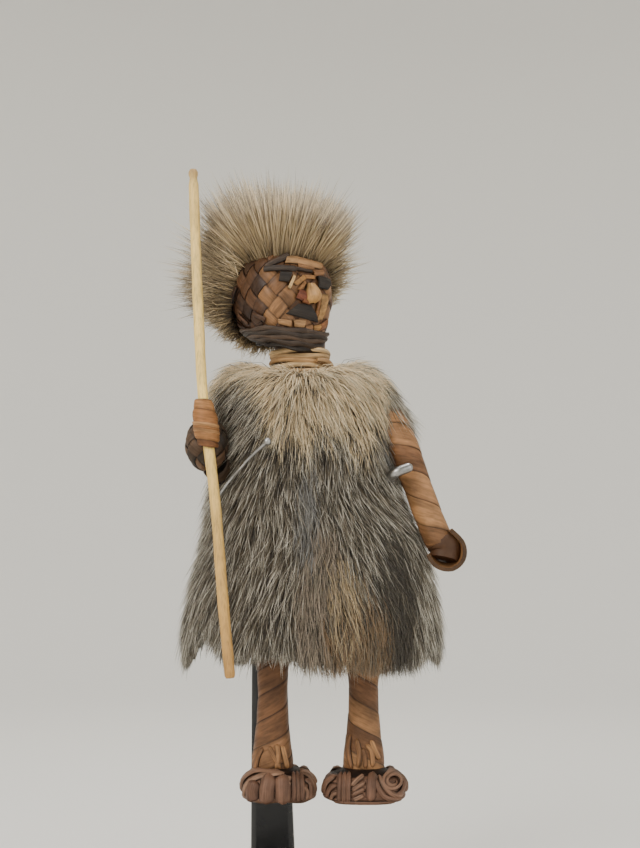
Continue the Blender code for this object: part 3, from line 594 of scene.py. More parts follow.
# Each strip's tone and half width, and its way over the front from the foot's middle
FOOT_STRIPS = {
    "right": (
        (0.15, 1.8, ((-6.9, 0.8), (-7.2, 3.2), (-6.4, 6.2))),
        (0.5, 2.1, ((-3.1, 0.5), (-3.1, 4), (-2.4, 7.8))),
        (0.35, 2.2, ((1.3, 0.5), (1.4, 4.2), (1.1, 7.6))),
        (0.3, 0.55, ((4.2, 0.7), (4.3, 4.4), (4.0, 8.2))),
        (0.38, 0.55, ((5.3, 0.7), (5.4, 4.4), (5.0, 8.2))),
        (0.3, 0.55, ((6.4, 0.8), (6.5, 4.4), (6.0, 7.9))),
        (0.6, 0.6, ((-10.3, 2.6), (-9.6, 6.0), (-6.4, 8.2), (-2.0, 8.4), (0.4, 8.4))),
        (0.75, 0.55, ((-9.4, 1.6), (-8.6, 4.8), (-5.6, 6.9), (-2.2, 7.6), (1.6, 8.0))),
        (0.8, 0.5, ((0.6, 6.9), (2.0, 6.9), (3.6, 6.6))), (0.7, 0.5, ((0.4, 5.6), (1.9, 5.7), (3.5, 5.3))),
        (0.7, 0.5, ((6.0, 8.0), (8.2, 6.8), (9.6, 4.0), (9.4, 1.8))),
        (0.5, 0.5, ((7.0, 6.4), (8.4, 5.2), (8.6, 2.6), (8.2, 1.0))),
        (0.6, 0.5, ((6.6, 4.6), (7.6, 3.4), (7.5, 1.2))),
        (0.85, 0.45, ((7.2, 8.2), (9.2, 6.8), (10.2, 4.6))),
    ),
    "left": (
        (0.55, 0.6, ((-11.2, 2.1), (-10.3, 5.2), (-7.9, 7.2))),
        (0.4, 0.55, ((-10.4, 1.5), (-9.3, 3.9), (-7.5, 5.2))),
        (0.6, 0.5, ((-9.1, 1.1), (-8.6, 2.4), (-7.4, 3.2))),
        (0.3, 0.62, ((-6.9, 0.6), (-6.9, 4.4), (-6.4, 8.0))),
        (0.42, 0.62, ((-5.7, 0.6), (-5.7, 4.4), (-5.3, 8.1))),
        (0.34, 0.62, ((-4.5, 0.6), (-4.5, 4.4), (-4.2, 8.2))),
        (0.7, 0.55, ((-3.7, 5.0), (-2.0, 6.5), (-0.2, 7.5))),
        (0.62, 0.55, ((-3.6, 3.8), (-2.0, 4.9), (0.0, 6.0))),
        (0.55, 0.55, ((-3.4, 2.7), (-2.0, 3.5), (-0.1, 4.4))),
        (0.66, 0.55, ((-3.2, 1.6), (-2.0, 2.1), (-0.4, 2.8))),
        (0.4, 1.4, ((2.4, 8.2), (1.8, 5.0), (1.4, 1.2))),
        (0.6, 0.65, ((3.8, 7.6), (5.2, 4.8), (7.4, 2.8), (10.4, 2.2))),
        (0.45, 0.65, ((2.9, 6.8), (4.0, 3.6), (6.2, 1.8), (10.2, 1.1))),
        (0.5, 0.6, ((10.2, 6.9), (11.4, 5.0), (11.0, 2.6))),
        (0.35, 0.6, ((9.6, 7.8), (10.8, 6.0), (9.8, 3.2), (6.8, 2.2))),
        (0.5, 0.55, ((-8.6, 0.6), (-3, 0.7), (3, 0.6), (8.6, 0.7))),
    ),
}
COIL_MIDDLE = (7.4, 6.0)
COIL_TURNS = 2.1

for side, seed in (("right", 31), ("left", 32)):
    bm = new_bmesh()
    surface = foot_surface(side)
    core(bm, surface, 0.02, 1, 0.7)
    chance = wandering(seed)
    for ring in range(4):
        middle, tone = 0.13 + 0.2 * ring, 0.2 + 0.5 * chance()

        def place(along, across, out):
            ripple = 0.03 * math.sin(2 * math.pi * along * 5 + middle * 20)
            return surface(along, middle + across * 0.115 + ripple, out - 0.4 - 0.3 * across * across)

        lay_strip(bm, place, 64, 4, 60, tone)
    for tone, half_width, points in FOOT_STRIPS[side]:
        laid_strip(bm, foot_front(side), points, half_width, tone, -0.05 if half_width > 1 else 0.25)
    for band in range(6):
        x = (band - 2.5) / 3 * FOOT_HALF[side][0] * 0.86
        points = ((x, 0.6), (x * 1.02, 4.2), (x * 0.8, 8.2))
        laid_strip(bm, foot_front(side, 1), points, 1.35, 0.2 + 0.6 * chance(), 0.0)
    if side == "left":
        coil = []
        for step in range(22):
            angle, reach = -0.6 + 2 * math.pi * COIL_TURNS * step / 21, 1 - 0.62 * step / 21
            coil.append((COIL_MIDDLE[0] + 3.1 * reach * math.cos(angle),
                         COIL_MIDDLE[1] + 2.3 * reach * math.sin(angle)))
        laid_strip(bm, foot_front(side), coil, 0.42, 0.6, 0.55, steps=60)
    set_piece(f"{side}_foot_bundle", bm, FOOT_ROOT, "root_strip", f"{side}_foot")


# Neck. Pale strips wound round it six times, each a little over the edge of the next, with one end
# knotted at the front of the doll's left side. Their tones run high as painted light against the jaw's
# shade.

NECK_WRAP_ENDS = (118.6, 127.4)
NECK_TURNS = 6
KNOT_ROUTE = ((2, -8.4, 123.6), (4.6, -7.2, 123.3), (6.0, -5.8, 121.8), (5.4, -6.8, 120.4))

bm = new_bmesh()
for turn in range(NECK_TURNS):
    middle = NECK_WRAP_ENDS[0] + (NECK_WRAP_ENDS[1] - NECK_WRAP_ENDS[0]) * (turn + 0.5) / NECK_TURNS

    def place(along, across, out):
        angle = 2 * math.pi * along + turn
        rise = middle + across * 0.8 + 0.35 * math.sin(angle * 2 + turn * 2)
        reach = (NECK_RADIUS + 0.5 + out + 0.5 * (1 - across * across) + 0.2 * (turn % 2)) * MM
        return oval(at(NECK_MIDDLE_X, 0, rise), reach, reach, angle, 2)

    # Painted light: the pale strips' tones run high so the neck stays bright in the shade under the jaw.
    lay_strip(bm, place, 60, 4, 48, 0.4 + 0.6 * ((turn * 0.37) % 1))
knot = smooth_path([at(*point) for point in KNOT_ROUTE], 16)
sweep(bm, knot, [(1.15 - 0.45 * abs(i / 7.5 - 1)) * MM for i in range(16)], 12, 0.5)
set_piece("neck_strips", bm, PALE_ROOT, "pale_root_strip", "neck_wrap")


# Head. A hollow ball plaited on the slant from flat strips, nearly square in plan and turned to the
# doll's left. The face is only other strips laid on it or tucked under its crossings.

HEAD_MIDDLE = (-8.2, -1, 141)
HEAD_HALF = (12.9, 12.9, 14.3)
HEAD_SQUARENESS = 3.4
JAW_TAPER = 0.22
CHIN_FORWARD = 3.2
NAPE_RISE = 4
HEAD_STRIPS = 14
HEAD_PLAN_SQUARENESS = 3
CROWN_RISE = 14.2
FACE_MIDDLE = 8
FACE_SPAN = 62
FACE_TURN = math.radians(35)


def head_point(turn, rise, out=0.0):
    """A point of the head: degrees from the face's middle, mm above the head's, and out of it."""
    half_x, half_y, half_z = HEAD_HALF
    fullness = (1 - min(abs(rise) / half_z, 1) ** HEAD_SQUARENESS) ** (1 / HEAD_SQUARENESS)
    size = fullness * (1 - JAW_TAPER * max(0, -rise / half_z))
    angle = math.radians(turn) - math.pi / 2
    x, y, h = HEAD_MIDDLE
    local = oval(Vector(), (half_x * size + out) * MM, (half_y * size + out) * MM, angle,
                 HEAD_PLAN_SQUARENESS)
    local.y -= CHIN_FORWARD * max(0, -rise / half_z) ** 2 * MM
    behind = (1 - math.cos(math.radians(turn - FACE_MIDDLE))) / 2
    h += NAPE_RISE * behind * max(0, -rise / half_z) ** 2
    over = out * (abs(rise) / half_z) ** 4 * (1 if rise > 0 else -1)
    return at(x, y, h + rise + over) + Matrix.Rotation(FACE_TURN, 3, "Z") @ local


def head_surface(turn, rise, out):
    rise = max(-CROWN_RISE, min(CROWN_RISE, rise))
    return head_point(turn * 360, rise, out)


def head_tone_with_painted_shade(turn, rise, tone):
    """The face is tan, and the rest of the head is dark brown, painted shade for the sides turned from the
    light.
    """
    from_face = abs((turn * 360 - FACE_MIDDLE + 180) % 360 - 180)
    # Painted shade: away from the face the tones drop to the dark end of the range.
    return 0.24 + 0.56 * tone if from_face < FACE_SPAN else 0.02 + 0.24 * tone


def patch(bm, corners, tone, lift, thickness, bulge, waist=0.0):
    """A strip laid between four (turn, rise) corners of the head, thick at its middle."""
    a, b, c, d = corners

    def place(along, across, out):
        share = (across + 1) / 2
        near = [p + (q - p) * along for p, q in zip(a, b)]
        far = [p + (q - p) * along for p, q in zip(d, c)]
        turn, rise = [p + (q - p) * share for p, q in zip(near, far)]
        crown = bulge * (1 - across * across) * (1 - waist * (2 * along - 1) ** 2)
        return head_point(turn, rise, lift + out + crown)

    lay_strip(bm, place, 14, 4, 8, tone, thickness)


HEAD_ROOT = root_strips("waxed_root_strips",
                        ((0.030, 0.014, 0.008), (0.145, 0.066, 0.028), (0.34, 0.175, 0.072)), 0.4)
OCHRE_ROOT = root_strips("ochre_root_strips",
                         ((0.15, 0.045, 0.022), (0.33, 0.165, 0.05), (0.56, 0.36, 0.16)), 0.4)
STRIP_ENDS = 34

bm = new_bmesh()
core(bm, head_surface, -14, 14, 0.9, 14, 32)
plait(bm, head_surface, -13.6, 13.6, HEAD_STRIPS, 6.8, seed=5, tone_at=head_tone_with_painted_shade)
chance = wandering(8)
for number in range(STRIP_ENDS):
    turn, rise = -62 - 215 * chance(), -9 + 18 * chance()
    tilt = (0.95 if number % 2 else -0.95) + 0.7 * (chance() - 0.5)
    long, wide = 1.8 + 1.4 * chance(), 0.55 + 0.35 * chance()
    corners = [(turn + 4.4 * (a * long * math.sin(tilt) + b * wide * math.cos(tilt)),
                rise + a * long * math.cos(tilt) - b * wide * math.sin(tilt))
               for a, b in ((-1, -1), (1, -1), (1, 1), (-1, 1))]
    patch(bm, corners, 0.02 + 0.55 * chance() ** 2, 0.35, 0.4, 0.4, 1.0)
set_piece("plaited_head", bm, HEAD_ROOT, "root_strip", "head")

JAW_LACES = 5
JAW_FOOT = -13.6
JAW_HELD = -13.2

bm = new_bmesh()
for lace in range(JAW_LACES):
    def place(along, across, out):
        rise = JAW_FOOT + lace * 1.05 + across * 0.68 + 0.25 * math.sin(2 * math.pi * along * 6 + lace * 2)
        held = max(rise, JAW_HELD)
        spot = head_point(360 * along, held, 0.7 + out + 0.35 * (1 - across * across) + 0.15 * (lace % 2))
        return spot + Vector((0, 0, rise - held)) * MM

    lay_strip(bm, place, 72, 3, 84, (lace * 0.41) % 1)
set_piece("jaw_strips", bm, DARK_ROOT, "dark_root_strip", "jaw_band")

# Each piece's strips, by their corners in degrees round the head and mm above its middle
FACE_STRIPS = (
    ("brow_band", "brow_strip", DARK_ROOT, "dark_root_strip",
     ((0.3, ((-54, 6.9), (-17, 7.2), (-17, 8.7), (-54, 8.6))),
      (0.7, ((-52, 7.7), (-22, 11.0), (-27, 12.7), (-52, 9.3))),
      (0.5, ((-17, 7.5), (6, 7.3), (6, 8.2), (-17, 8.6))))),
    ("forehead_band", "forehead_strip", PALE_ROOT, "pale_root_strip",
     ((0.3, ((-30, 9.3), (-12, 9.5), (-12, 12.0), (-26, 11.7))),
      (0.2, ((-13, 9.3), (22, 8.9), (28, 10.9), (-13, 11.9))),
      (0.05, ((-13, 8.3), (8, 8.2), (12, 9.2), (-13, 9.6))),
      (0.0, ((10, 6.4), (24, 7.2), (24, 8.9), (8, 8.3))))),
    ("near_eye_band", "near_eye_strip", DARK_ROOT, "dark_root_strip",
     ((0.0, ((-37, 4.0), (-26, 3.9), (-21, 6.9), (-35, 6.9))),)),
    ("far_eye_band", "far_eye_strip", DARK_ROOT, "dark_root_strip",
     ((0.0, ((15, 3.4), (30, 3.2), (36, 6.6), (15, 6.9))),)),
    ("mouth_band", "mouth_strip", DARK_ROOT, "dark_root_strip",
     ((0.0, ((-30, -5.2), (19, -6.6), (5, -2.0), (-13, -1.9))),)),
    ("lower_lip_band", "lower_lip_strip", PALE_ROOT, "pale_root_strip",
     ((0.3, ((-19, -8.6), (-4, -8.8), (-2, -6.2), (-20, -6.6))),
      (0.2, ((-40, -8.2), (-24, -8.8), (-23, -6.9), (-40, -6.6))),
      (0.05, ((-2, -9.6), (10, -9.8), (10, -7.4), (-1, -7.9))))),
)
for name, solid, material, slot, strips in FACE_STRIPS:
    bm = new_bmesh()
    for tone, corners in strips:
        patch(bm, corners, tone, 0.3, 0.45, 0.5)
    set_piece(name, bm, material, slot, solid)

bm = new_bmesh()
NOSE_TOP = 4.2
NOSE_LENGTH = 5.8
NOSE = ((4.2, 6, 0.9), (3.0, 8, 2.2), (1.6, 9, 3.4), (0.2, 9, 3.9), (-0.9, 8, 3.3), (-1.6, 5, 1.8))
NOSE_TURN = 5


def nose_place(along, across, out):
    rise = NOSE_TOP - NOSE_LENGTH * along
    spread, height = blend(NOSE, rise)
    crown = height * (1 - abs(across) ** 1.7)
    return head_point(NOSE_TURN + across * spread, rise, 0.2 + out + crown)


lay_strip(bm, nose_place, 14, 10, 9, 0.6, 0.5)
# The strips round it, with each one's tone: the lit slip by the near eye, folds at the nose, the far cheek
for tone, corners in (
    (1.0, ((-27, 2.2), (-24, 1.8), (-17, 5.9), (-20, 6.2))),
    (0.0, ((-17, -0.6), (-4, -1.4), (-2, 1.8), (-12, 2.4))),
    (0.1, ((-8, -1.6), (2, -2.0), (3, -0.4), (-6, -0.2))),
    (0.45, ((-21, 3.6), (-16, 3.0), (-2, 5.6), (-6, 6.6))),
    (0.3, ((-16, 1.8), (-12, 1.6), (-2, 4.4), (-5, 5.0))),
    (0.35, ((-6, 6.4), (-4, 5.4), (10, 5.6), (12, 6.6))),
    (0.62, ((17, -6.2), (25, -5.8), (29, 2.0), (18, 1.6))),
    (0.25, ((13, -5.8), (16, -6.0), (17, 2.4), (14, 2.4))),
    (0.5, ((12, -9.6), (22, -9.0), (24, -6.8), (13, -7.6))),
    (0.15, ((23, -9.2), (34, -8.2), (34, -5.0), (25, -6.6))),
):
    patch(bm, corners, tone, 0.3, 0.45, 0.55)
set_piece("nose_strip", bm, OCHRE_ROOT, "root_strip", "nose_fold")


# Left arm. A pair of broad strips bound on the slant round a bundle of fibre, with the last one left
# long and curled up on itself for the hand.

LIMB_RADIUS = 3.7
LIMB_SWELL = 0.5
LEFT_ARM = ((19.5, -4, 111), (22.5, -6, 107), (26, -8, 100), (29.3, -8.5, 91), (33.2, -8.8, 80),
            (36.6, -9, 71.5))
LEFT_HAND = ((38.2, -9, 74), (41.2, -9, 71), (41.3, -9.6, 67.8), (39, -10.4, 65.9), (35.9, -11, 66.6),
             (34.3, -11.4, 69))


def limb_surface(points, count=60):
    """A limb round a smooth path: turn round it, share of its length, and mm out of its skin."""
    frames = ring_frames(smooth_path([at(*point) for point in points], count))

    def surface(turn, share, out):
        place = min(max(share, 0), 1) * (count - 1)
        index = min(int(place), count - 2)
        (p, s, u), (q, t, v) = frames[index], frames[index + 1]
        part = place - index
        middle, side, lift = p.lerp(q, part), s.lerp(t, part), u.lerp(v, part)
        radius = LIMB_RADIUS + LIMB_SWELL * math.sin(math.pi * min(share * 1.6, 1)) + out
        angle = 2 * math.pi * turn
        return middle + (side * math.cos(angle) + lift * math.sin(angle)) * radius * MM

    return surface


bm = new_bmesh()
arm = limb_surface(LEFT_ARM)
core(bm, arm, 0, 1, 0.4, 24)
bind(bm, arm, 0.0, 1.0, 0.15, 41, -1, 0.3, tones=(0.45, 1), strips=2)
HAND_POINTS = 24
hand = smooth_path([at(*point) for point in LEFT_HAND], HAND_POINTS)


def hand_place(along, across, out):
    share = along * (HAND_POINTS - 1)
    index = min(int(share), HAND_POINTS - 2)
    middle = hand[index].lerp(hand[index + 1], share - index)
    ahead = (hand[index + 1] - hand[index]).normalized()
    inward = ahead.cross(Vector((0, -1, 0))).normalized()
    wide = 4.4 - 1.2 * along
    cupped = 1.4 * (1 - across) / 2
    sideways = Vector((0, across * wide * MM, 0))
    return middle + sideways - inward * (out + cupped - 0.3 * across * across) * MM


lay_strip(bm, hand_place, 28, 6, 30, 0.8, 1.1)
palm = limb_surface(((37.0, -8.4, 73), (38.1, -8.8, 69.8), (37.6, -9.4, 67.0)), 20)
core(bm, palm, 0, 1, -0.5, 8, tone=0.3, edge=0.78)
set_piece("left_arm_and_hand", bm, ROOT, "root_strip", "left_arm")


# Right arm. It comes forward from under the pelt and ends in a plaited fist on the staff. One strip is
# wound round its bundle of fibre, and it is darker than the left arm.

RIGHT_ARM = ((-19.5, -1.5, 109), (-20.6, -2.2, 101.5), (-22.2, -5, 94.5), (-24.4, -10, 91.6),
             (-26.4, -14.5, 93.5))
FIST_MIDDLE = (-28.5, -16.2, 98.9)
FIST_HALF = (5.8, 5.4, 7.4)


def fist_surface(turn, rise, out):
    half_x, half_y, half_h = (size + out for size in FIST_HALF)
    x, y, h = FIST_MIDDLE
    lean = math.asin(max(-0.985, min(0.985, rise / FIST_HALF[2])))
    return oval(at(x, y, h + half_h * math.sin(lean)), half_x * math.cos(lean) * MM,
                half_y * math.cos(lean) * MM, 2 * math.pi * turn, 2.3)


bm = new_bmesh()
arm = limb_surface(RIGHT_ARM)
core(bm, arm, 0, 1, 0.4, 20)
bind(bm, arm, 0.0, 1.0, 0.24, 43, 1, 0.1, tones=(0.1, 0.6))
core(bm, fist_surface, -7.1, 7.1, 0.7, 12)
plait(bm, fist_surface, -6.8, 6.8, 6, 5.4, seed=6)
LASHING_ROOT = root_strips("orange_root_strips",
                           ((0.14, 0.055, 0.02), (0.30, 0.13, 0.042), (0.48, 0.25, 0.10)))
UMBER_ROOT = root_strips("umber_root_strips",
                         ((0.026, 0.017, 0.010), (0.062, 0.036, 0.020), (0.14, 0.075, 0.038)))
set_piece("right_arm_and_fist", bm, UMBER_ROOT, "root_strip", "right_arm")


# Staff. A whittled stick of pale bare wood, a little crooked, with a notch cut near its head. It is
# brightest at its middle and browner towards its foot.

STAFF_RADIUS = 1.45
STAFF_ROUTE = ((-33.9, -8, 179.3), (-32.6, -11.5, 156), (-31, -16, 132), (-29.2, -20, 110),
               (-25.4, -25, 83),
               (-22.7, -30, 56.6), (-20.4, -34, 36.7))
NOTCH_H = 176.6
NOTCH_DEPTH = 0.3
SHARE_PER_MM = 0.0069


def pale_wood():
    material, tree, shader = new_material("pale_bare_wood", 0.55)
    lay = node(tree, "Attribute", attribute_name="lay").outputs["Vector"]
    along = node(tree, "SeparateXYZ", {"Vector": lay}).outputs["X"]
    place = node(tree, "TexCoord").outputs["Object"]
    drawn = node(tree, "VectorMath", {0: place, 1: (1.0, 1.0, 0.035)},
                 operation="MULTIPLY").outputs["Vector"]
    grain = noise(tree, drawn, 1900, 5, 0.6)
    share = node(tree, "Math", {0: along, 1: SHARE_PER_MM}, operation="MULTIPLY").outputs["Value"]
    colour = ramp(tree, share,
                  ((0.0, (0.40, 0.24, 0.09)), (0.03, (0.76, 0.52, 0.17)), (0.5, (0.95, 0.67, 0.20)),
                   (0.78, (0.62, 0.37, 0.10)), (1.0, (0.42, 0.22, 0.055))))
    colour = tinted(tree, colour, ramp(tree, grain, ((0.3, 0.62), (0.5, 1.0), (0.7, 1.12))))
    stain = ramp(tree, noise(tree, place, 120, 4), ((0.3, 0.8), (0.6, 1.04)))
    tree.links.new(tinted(tree, colour, stain), shader.inputs["Base Color"])
    relief(tree, shader, grain, 0.35, 0.0002)
    return material


bm = new_bmesh()
path = smooth_path([at(*point) for point in STAFF_ROUTE], 110)
radii = []
for i, point in enumerate(path):
    h = point.z / MM - SOLE_HEIGHT
    waist = NOTCH_DEPTH * math.exp(-((h - NOTCH_H) / 1.1) ** 2)
    radii.append(STAFF_RADIUS * MM * (1 - waist + 0.025 * math.sin(i * 0.7) + 0.02 * math.sin(i * 0.23)))
for end, inward in ((0, 1), (-1, -1)):
    radii[end] *= 0.72
    radii[end + inward] *= 0.94
sweep(bm, path, radii, 14)
set_piece("whittled_staff", bm, pale_wood(), "staff_wood", "staff")


# Hand lashing. Strips wound round the staff at the fist, with their ends tucked in. The narrow ones at
# its middle stand out, and the lowest one is dark.

LASHING_ENDS = (97.4, 111)
LASHING_WALL = 0.9
LASHING_SWELL = 0.8
# Each band's lower and upper edge, how far it stands out, and its tone
LASHING_BANDS = ((107.6, 111.0, 0.1, 0.6), (104.0, 107.9, 0.45, 0.35), (103.2, 104.3, 0.75, 0.9),
                 (102.3, 103.4, 0.6, 0.5), (101.4, 102.5, 0.8, 0.8), (99.4, 101.7, 0.75, 0.55),
                 (97.6, 99.6, 0.35, 0.1))
staff_line = [point / MM - Vector((0, 0, SOLE_HEIGHT)) for point in path]

bm = new_bmesh()
for low, high, proud, tone in LASHING_BANDS:
    def place(along, across, out):
        angle = 2 * math.pi * along
        rise = (low + high) / 2 + across * (high - low) * 0.56 - 0.45 * math.cos(angle)
        rise = min(max(rise, LASHING_ENDS[0]), LASHING_ENDS[1])
        middle = min(staff_line, key=lambda point: abs(point.z - rise))
        share = (rise - LASHING_ENDS[0]) / (LASHING_ENDS[1] - LASHING_ENDS[0])
        radius = STAFF_RADIUS + LASHING_WALL + LASHING_SWELL * math.sin(math.pi * share) + proud * 0.6
        radius += out - 0.4 - 0.3 * across * across
        return at(middle.x + radius * math.cos(angle), middle.y + radius * math.sin(angle), rise)

    lay_strip(bm, place, 36, 4, 20, tone, 0.5)
set_piece("hand_binding", bm, LASHING_ROOT, "root_strip", "hand_lashing")


# Cloak. One pelt worn fur side out, gathered at the neck and open at the arms and the hem. The skin is
# a shell in painted shade, dark as the depth of the fur, and the fur is laid on it in locks: cream at the
# chest, ticked grey below, brown at one side.

CLOAK = ((0, -3, 0, 10.4, 10.4, 120.6), (0.07, -3, 0, 14, 12.2, 121.7), (0.15, -2.6, 0, 20, 14.8, 120.2),
         (0.23, -2.2, 0, 24.2, 16.6, 116), (0.32, -1.8, 0, 25.6, 18, 108.8), (0.45, -1.2, 0, 24.4, 19, 96),
         (0.58, -1.4, 0, 26, 19.8, 84), (0.7, 0.6, 0, 29.8, 21.4, 72), (0.82, 0.8, 0, 33, 23, 59),
         (0.92, 0.6, 0, 34.8, 23.8, 48), (1, 0.6, 0, 35, 24, 37.5))
CLOAK_SQUARENESS = 2.3
NECK_DIP = 6
NECK_SHARE = 0.22
CLOAK_SHARES = [i / 240 for i in range(241)]
CLOAK_SAMPLES = np.array([(share, *blend(CLOAK, share)) for share in CLOAK_SHARES])
CLOAK_STEPS = np.hypot(np.diff(CLOAK_SAMPLES[:, 3]), np.diff(CLOAK_SAMPLES[:, 5]))
CLOAK_WAY = np.concatenate([[0], np.cumsum(CLOAK_STEPS)])
CLOAK_LENGTH = CLOAK_WAY[-1]


def unit(ways):
    """Directions of length 1."""
    return ways / np.linalg.norm(ways, axis=-1, keepdims=True)


def cloak_skin(way, angle):
    """Points of the pelt's skin in mm, a way down it from the neck edge and an angle round it."""
    x, y, half_x, half_y, h = (np.interp(way, CLOAK_WAY, CLOAK_SAMPLES[:, k]) for k in range(1, 6))
    share = np.interp(way, CLOAK_WAY, CLOAK_SAMPLES[:, 0])
    h = h - np.maximum(0, way - CLOAK_LENGTH)
    h = h - NECK_DIP * np.maximum(0, -np.sin(angle)) ** 2 * np.maximum(0, 1 - share / NECK_SHARE)
    c, s = np.cos(angle), np.sin(angle)
    reach = (np.abs(c) ** CLOAK_SQUARENESS + np.abs(s) ** CLOAK_SQUARENESS) ** (-1 / CLOAK_SQUARENESS)
    return np.stack([x + half_x * reach * c, y + half_y * reach * s, SOLE_HEIGHT + h], axis=-1)


def cloak_out(way, angle):
    """Directions out of the pelt's skin."""
    down = cloak_skin(way + 1.5, angle) - cloak_skin(way - 1.5, angle)
    round_ = cloak_skin(way, angle + 0.05) - cloak_skin(way, angle - 0.05)
    return unit(np.cross(down, round_))


def pelt_skin_painted_shade():
    material, tree, shader = new_material("pelt_skin_painted_shade", 0.9)
    place = node(tree, "TexCoord").outputs["Object"]
    fuzz = noise(tree, place, 700, 6, 0.7)
    # Painted shade: the skin is near black brown, standing for the shade deep in the fur between the hairs.
    colour = ramp(tree, fuzz, ((0.3, (0.030, 0.024, 0.019)), (0.55, (0.075, 0.06, 0.05)),
                               (0.75, (0.15, 0.125, 0.10))))
    tree.links.new(colour, shader.inputs["Base Color"])
    relief(tree, shader, fuzz, 0.8, 0.0006)
    return material


FUR_STATIONS = 3
FUR_ZONES = 13
FUR_SHADES = 6


def strand_mesh():
    """One hair: a small triangle extruded twice as it narrows, and closed to a point."""
    bm = bmesh.new()
    uv = bm.loops.layers.uv.new("OFBake")
    disc = bmesh.ops.create_circle(bm, cap_ends=True, segments=3, radius=1)["verts"]
    end = disc[0].link_faces[0]
    for station, width in ((1, 0.85), (2, 0.0)):
        end = faces_of(bmesh.ops.extrude_face_region(bm, geom=[end, *end.edges])["geom"])[0]
        for vert in end.verts:
            angle = math.atan2(vert.co.y, vert.co.x)
            vert.co = (max(width, 0.001) * math.cos(angle), max(width, 0.001) * math.sin(angle), station)
    bmesh.ops.pointmerge(bm, verts=end.verts[:], merge_co=(0, 0, FUR_STATIONS - 1))
    bmesh.ops.recalc_face_normals(bm, faces=bm.faces[:])
    for face in bm.faces:
        middle = face.calc_center_median()
        own = math.atan2(middle.y, middle.x)
        for loop in face.loops:
            x, y, z = loop.vert.co
            swing = 0 if (x, y) == (0, 0) else (math.atan2(y, x) - own + math.pi) % (2 * math.pi) - math.pi
            side = round((own / math.pi + 1) * 1.5) % 3
            uv_side = (side + 0.5 + max(-0.45, min(0.45, swing / 2.4))) / 3
            loop[uv].uv = (uv_side, z / (FUR_STATIONS - 1))
            if middle.z < 0.01:
                loop[uv].uv = (0.5 + 0.3 * x, 0.02 + 0.015 * y)
    mesh = bpy.data.meshes.new("strand")
    bm.to_mesh(mesh)
    bm.free()
    return mesh


STRAND = strand_mesh()


def fur_material(name, zones, darkest=0.72, brightest=1.24):
    """Hair coloured from its map alone: the map's columns are the pelt's colour zones and their shades,
    and its height is the way from root to tip."""
    material, tree, shader = new_material(name, 0.62, Sheen_Weight=0.12, Sheen_Roughness=0.5)
    uv = node(tree, "UVMap", uv_map="OFBake").outputs["UV"]
    parts = node(tree, "SeparateXYZ", {"Vector": uv})
    column, up = parts.outputs["X"], parts.outputs["Y"]
    bands = []
    for part in range(3):
        stops = [(i / FUR_ZONES, zone[part]) for i, zone in enumerate(zones)]
        bands.append(ramp(tree, column, stops, "CONSTANT"))
    colour = mixed(tree, ramp(tree, up, ((0.08, 0.0), (0.42, 1.0))), bands[0], bands[1])
    colour = mixed(tree, ramp(tree, up, ((0.5, 0.0), (0.8, 1.0))), colour, bands[2])
    scaled = node(tree, "Math", {0: column, 1: float(FUR_ZONES * FUR_SHADES)}, operation="MULTIPLY")
    stepped = node(tree, "Math", {0: scaled.outputs["Value"]}, operation="FLOOR").outputs["Value"]
    chance = node(tree, "TexWhiteNoise", {"W": stepped}, noise_dimensions="1D").outputs["Value"]
    shade = ramp(tree, chance, ((0.0, darkest), (1.0, brightest)))
    tree.links.new(tinted(tree, colour, shade), shader.inputs["Base Color"])
    return material


def grow_fur(name, points, radii, zone, chance, material, slot):
    """Hairs whose three stations are given in mm, each one a copy of the strand moved into place."""
    count = len(points)
    holder = bpy.data.objects.new("strand_holder", STRAND)
    bpy.context.scene.collection.objects.link(holder)
    repeat = holder.modifiers.new("repeat", "ARRAY")
    repeat.count = count
    repeat.use_relative_offset = False
    bpy.context.view_layer.update()
    mesh = bpy.data.meshes.new_from_object(holder.evaluated_get(bpy.context.evaluated_depsgraph_get()))
    bpy.data.objects.remove(holder)
    mesh.name = name

    flat = np.empty(len(mesh.vertices) * 3, np.float32)
    mesh.vertices.foreach_get("co", flat)
    own = flat.reshape(count, -1, 3)
    station = np.rint(own[0, :, 2]).astype(int)
    ahead = unit(points[:, -1] - points[:, 0])
    side = unit(np.cross(ahead, chance.normal(size=(count, 3))))
    lift = np.cross(ahead, side)
    spread = own[:, :, :1] * side[:, None] + own[:, :, 1:2] * lift[:, None]
    placed = points[:, station] + spread * radii[:, None, None]
    mesh.vertices.foreach_set("co", (placed * MM).astype(np.float32).ravel())

    layer = mesh.uv_layers["OFBake"].data
    flat = np.empty(len(layer) * 2, np.float32)
    layer.foreach_get("uv", flat)
    laid = flat.reshape(count, -1, 2)
    column = zone * FUR_SHADES + chance.integers(0, FUR_SHADES, count)
    laid[:, :, 0] = (column[:, None] + 0.1 + 0.8 * laid[:, :, 0]) / (FUR_ZONES * FUR_SHADES)
    layer.foreach_set("uv", laid.ravel())
    mesh.update()
    mesh.shade_smooth()
    add_piece(name, mesh, material, slot)


def locks(chance, count, per_lock, reach):
    """For each hair, its lock's number and its own place across the lock, near the middle more often."""
    own = np.repeat(np.arange(count), per_lock)
    angle = chance.random(len(own)) * 2 * np.pi
    distance = np.sqrt(chance.random(len(own))) * reach
    return own, distance * np.cos(angle), distance * np.sin(angle)


CREAM, SAND, GREY, DARK, OLIVE, BROWN, BLUE, GUARD, MAUVE, BLOND, KHAKI, UMBER, FAWN = range(FUR_ZONES)
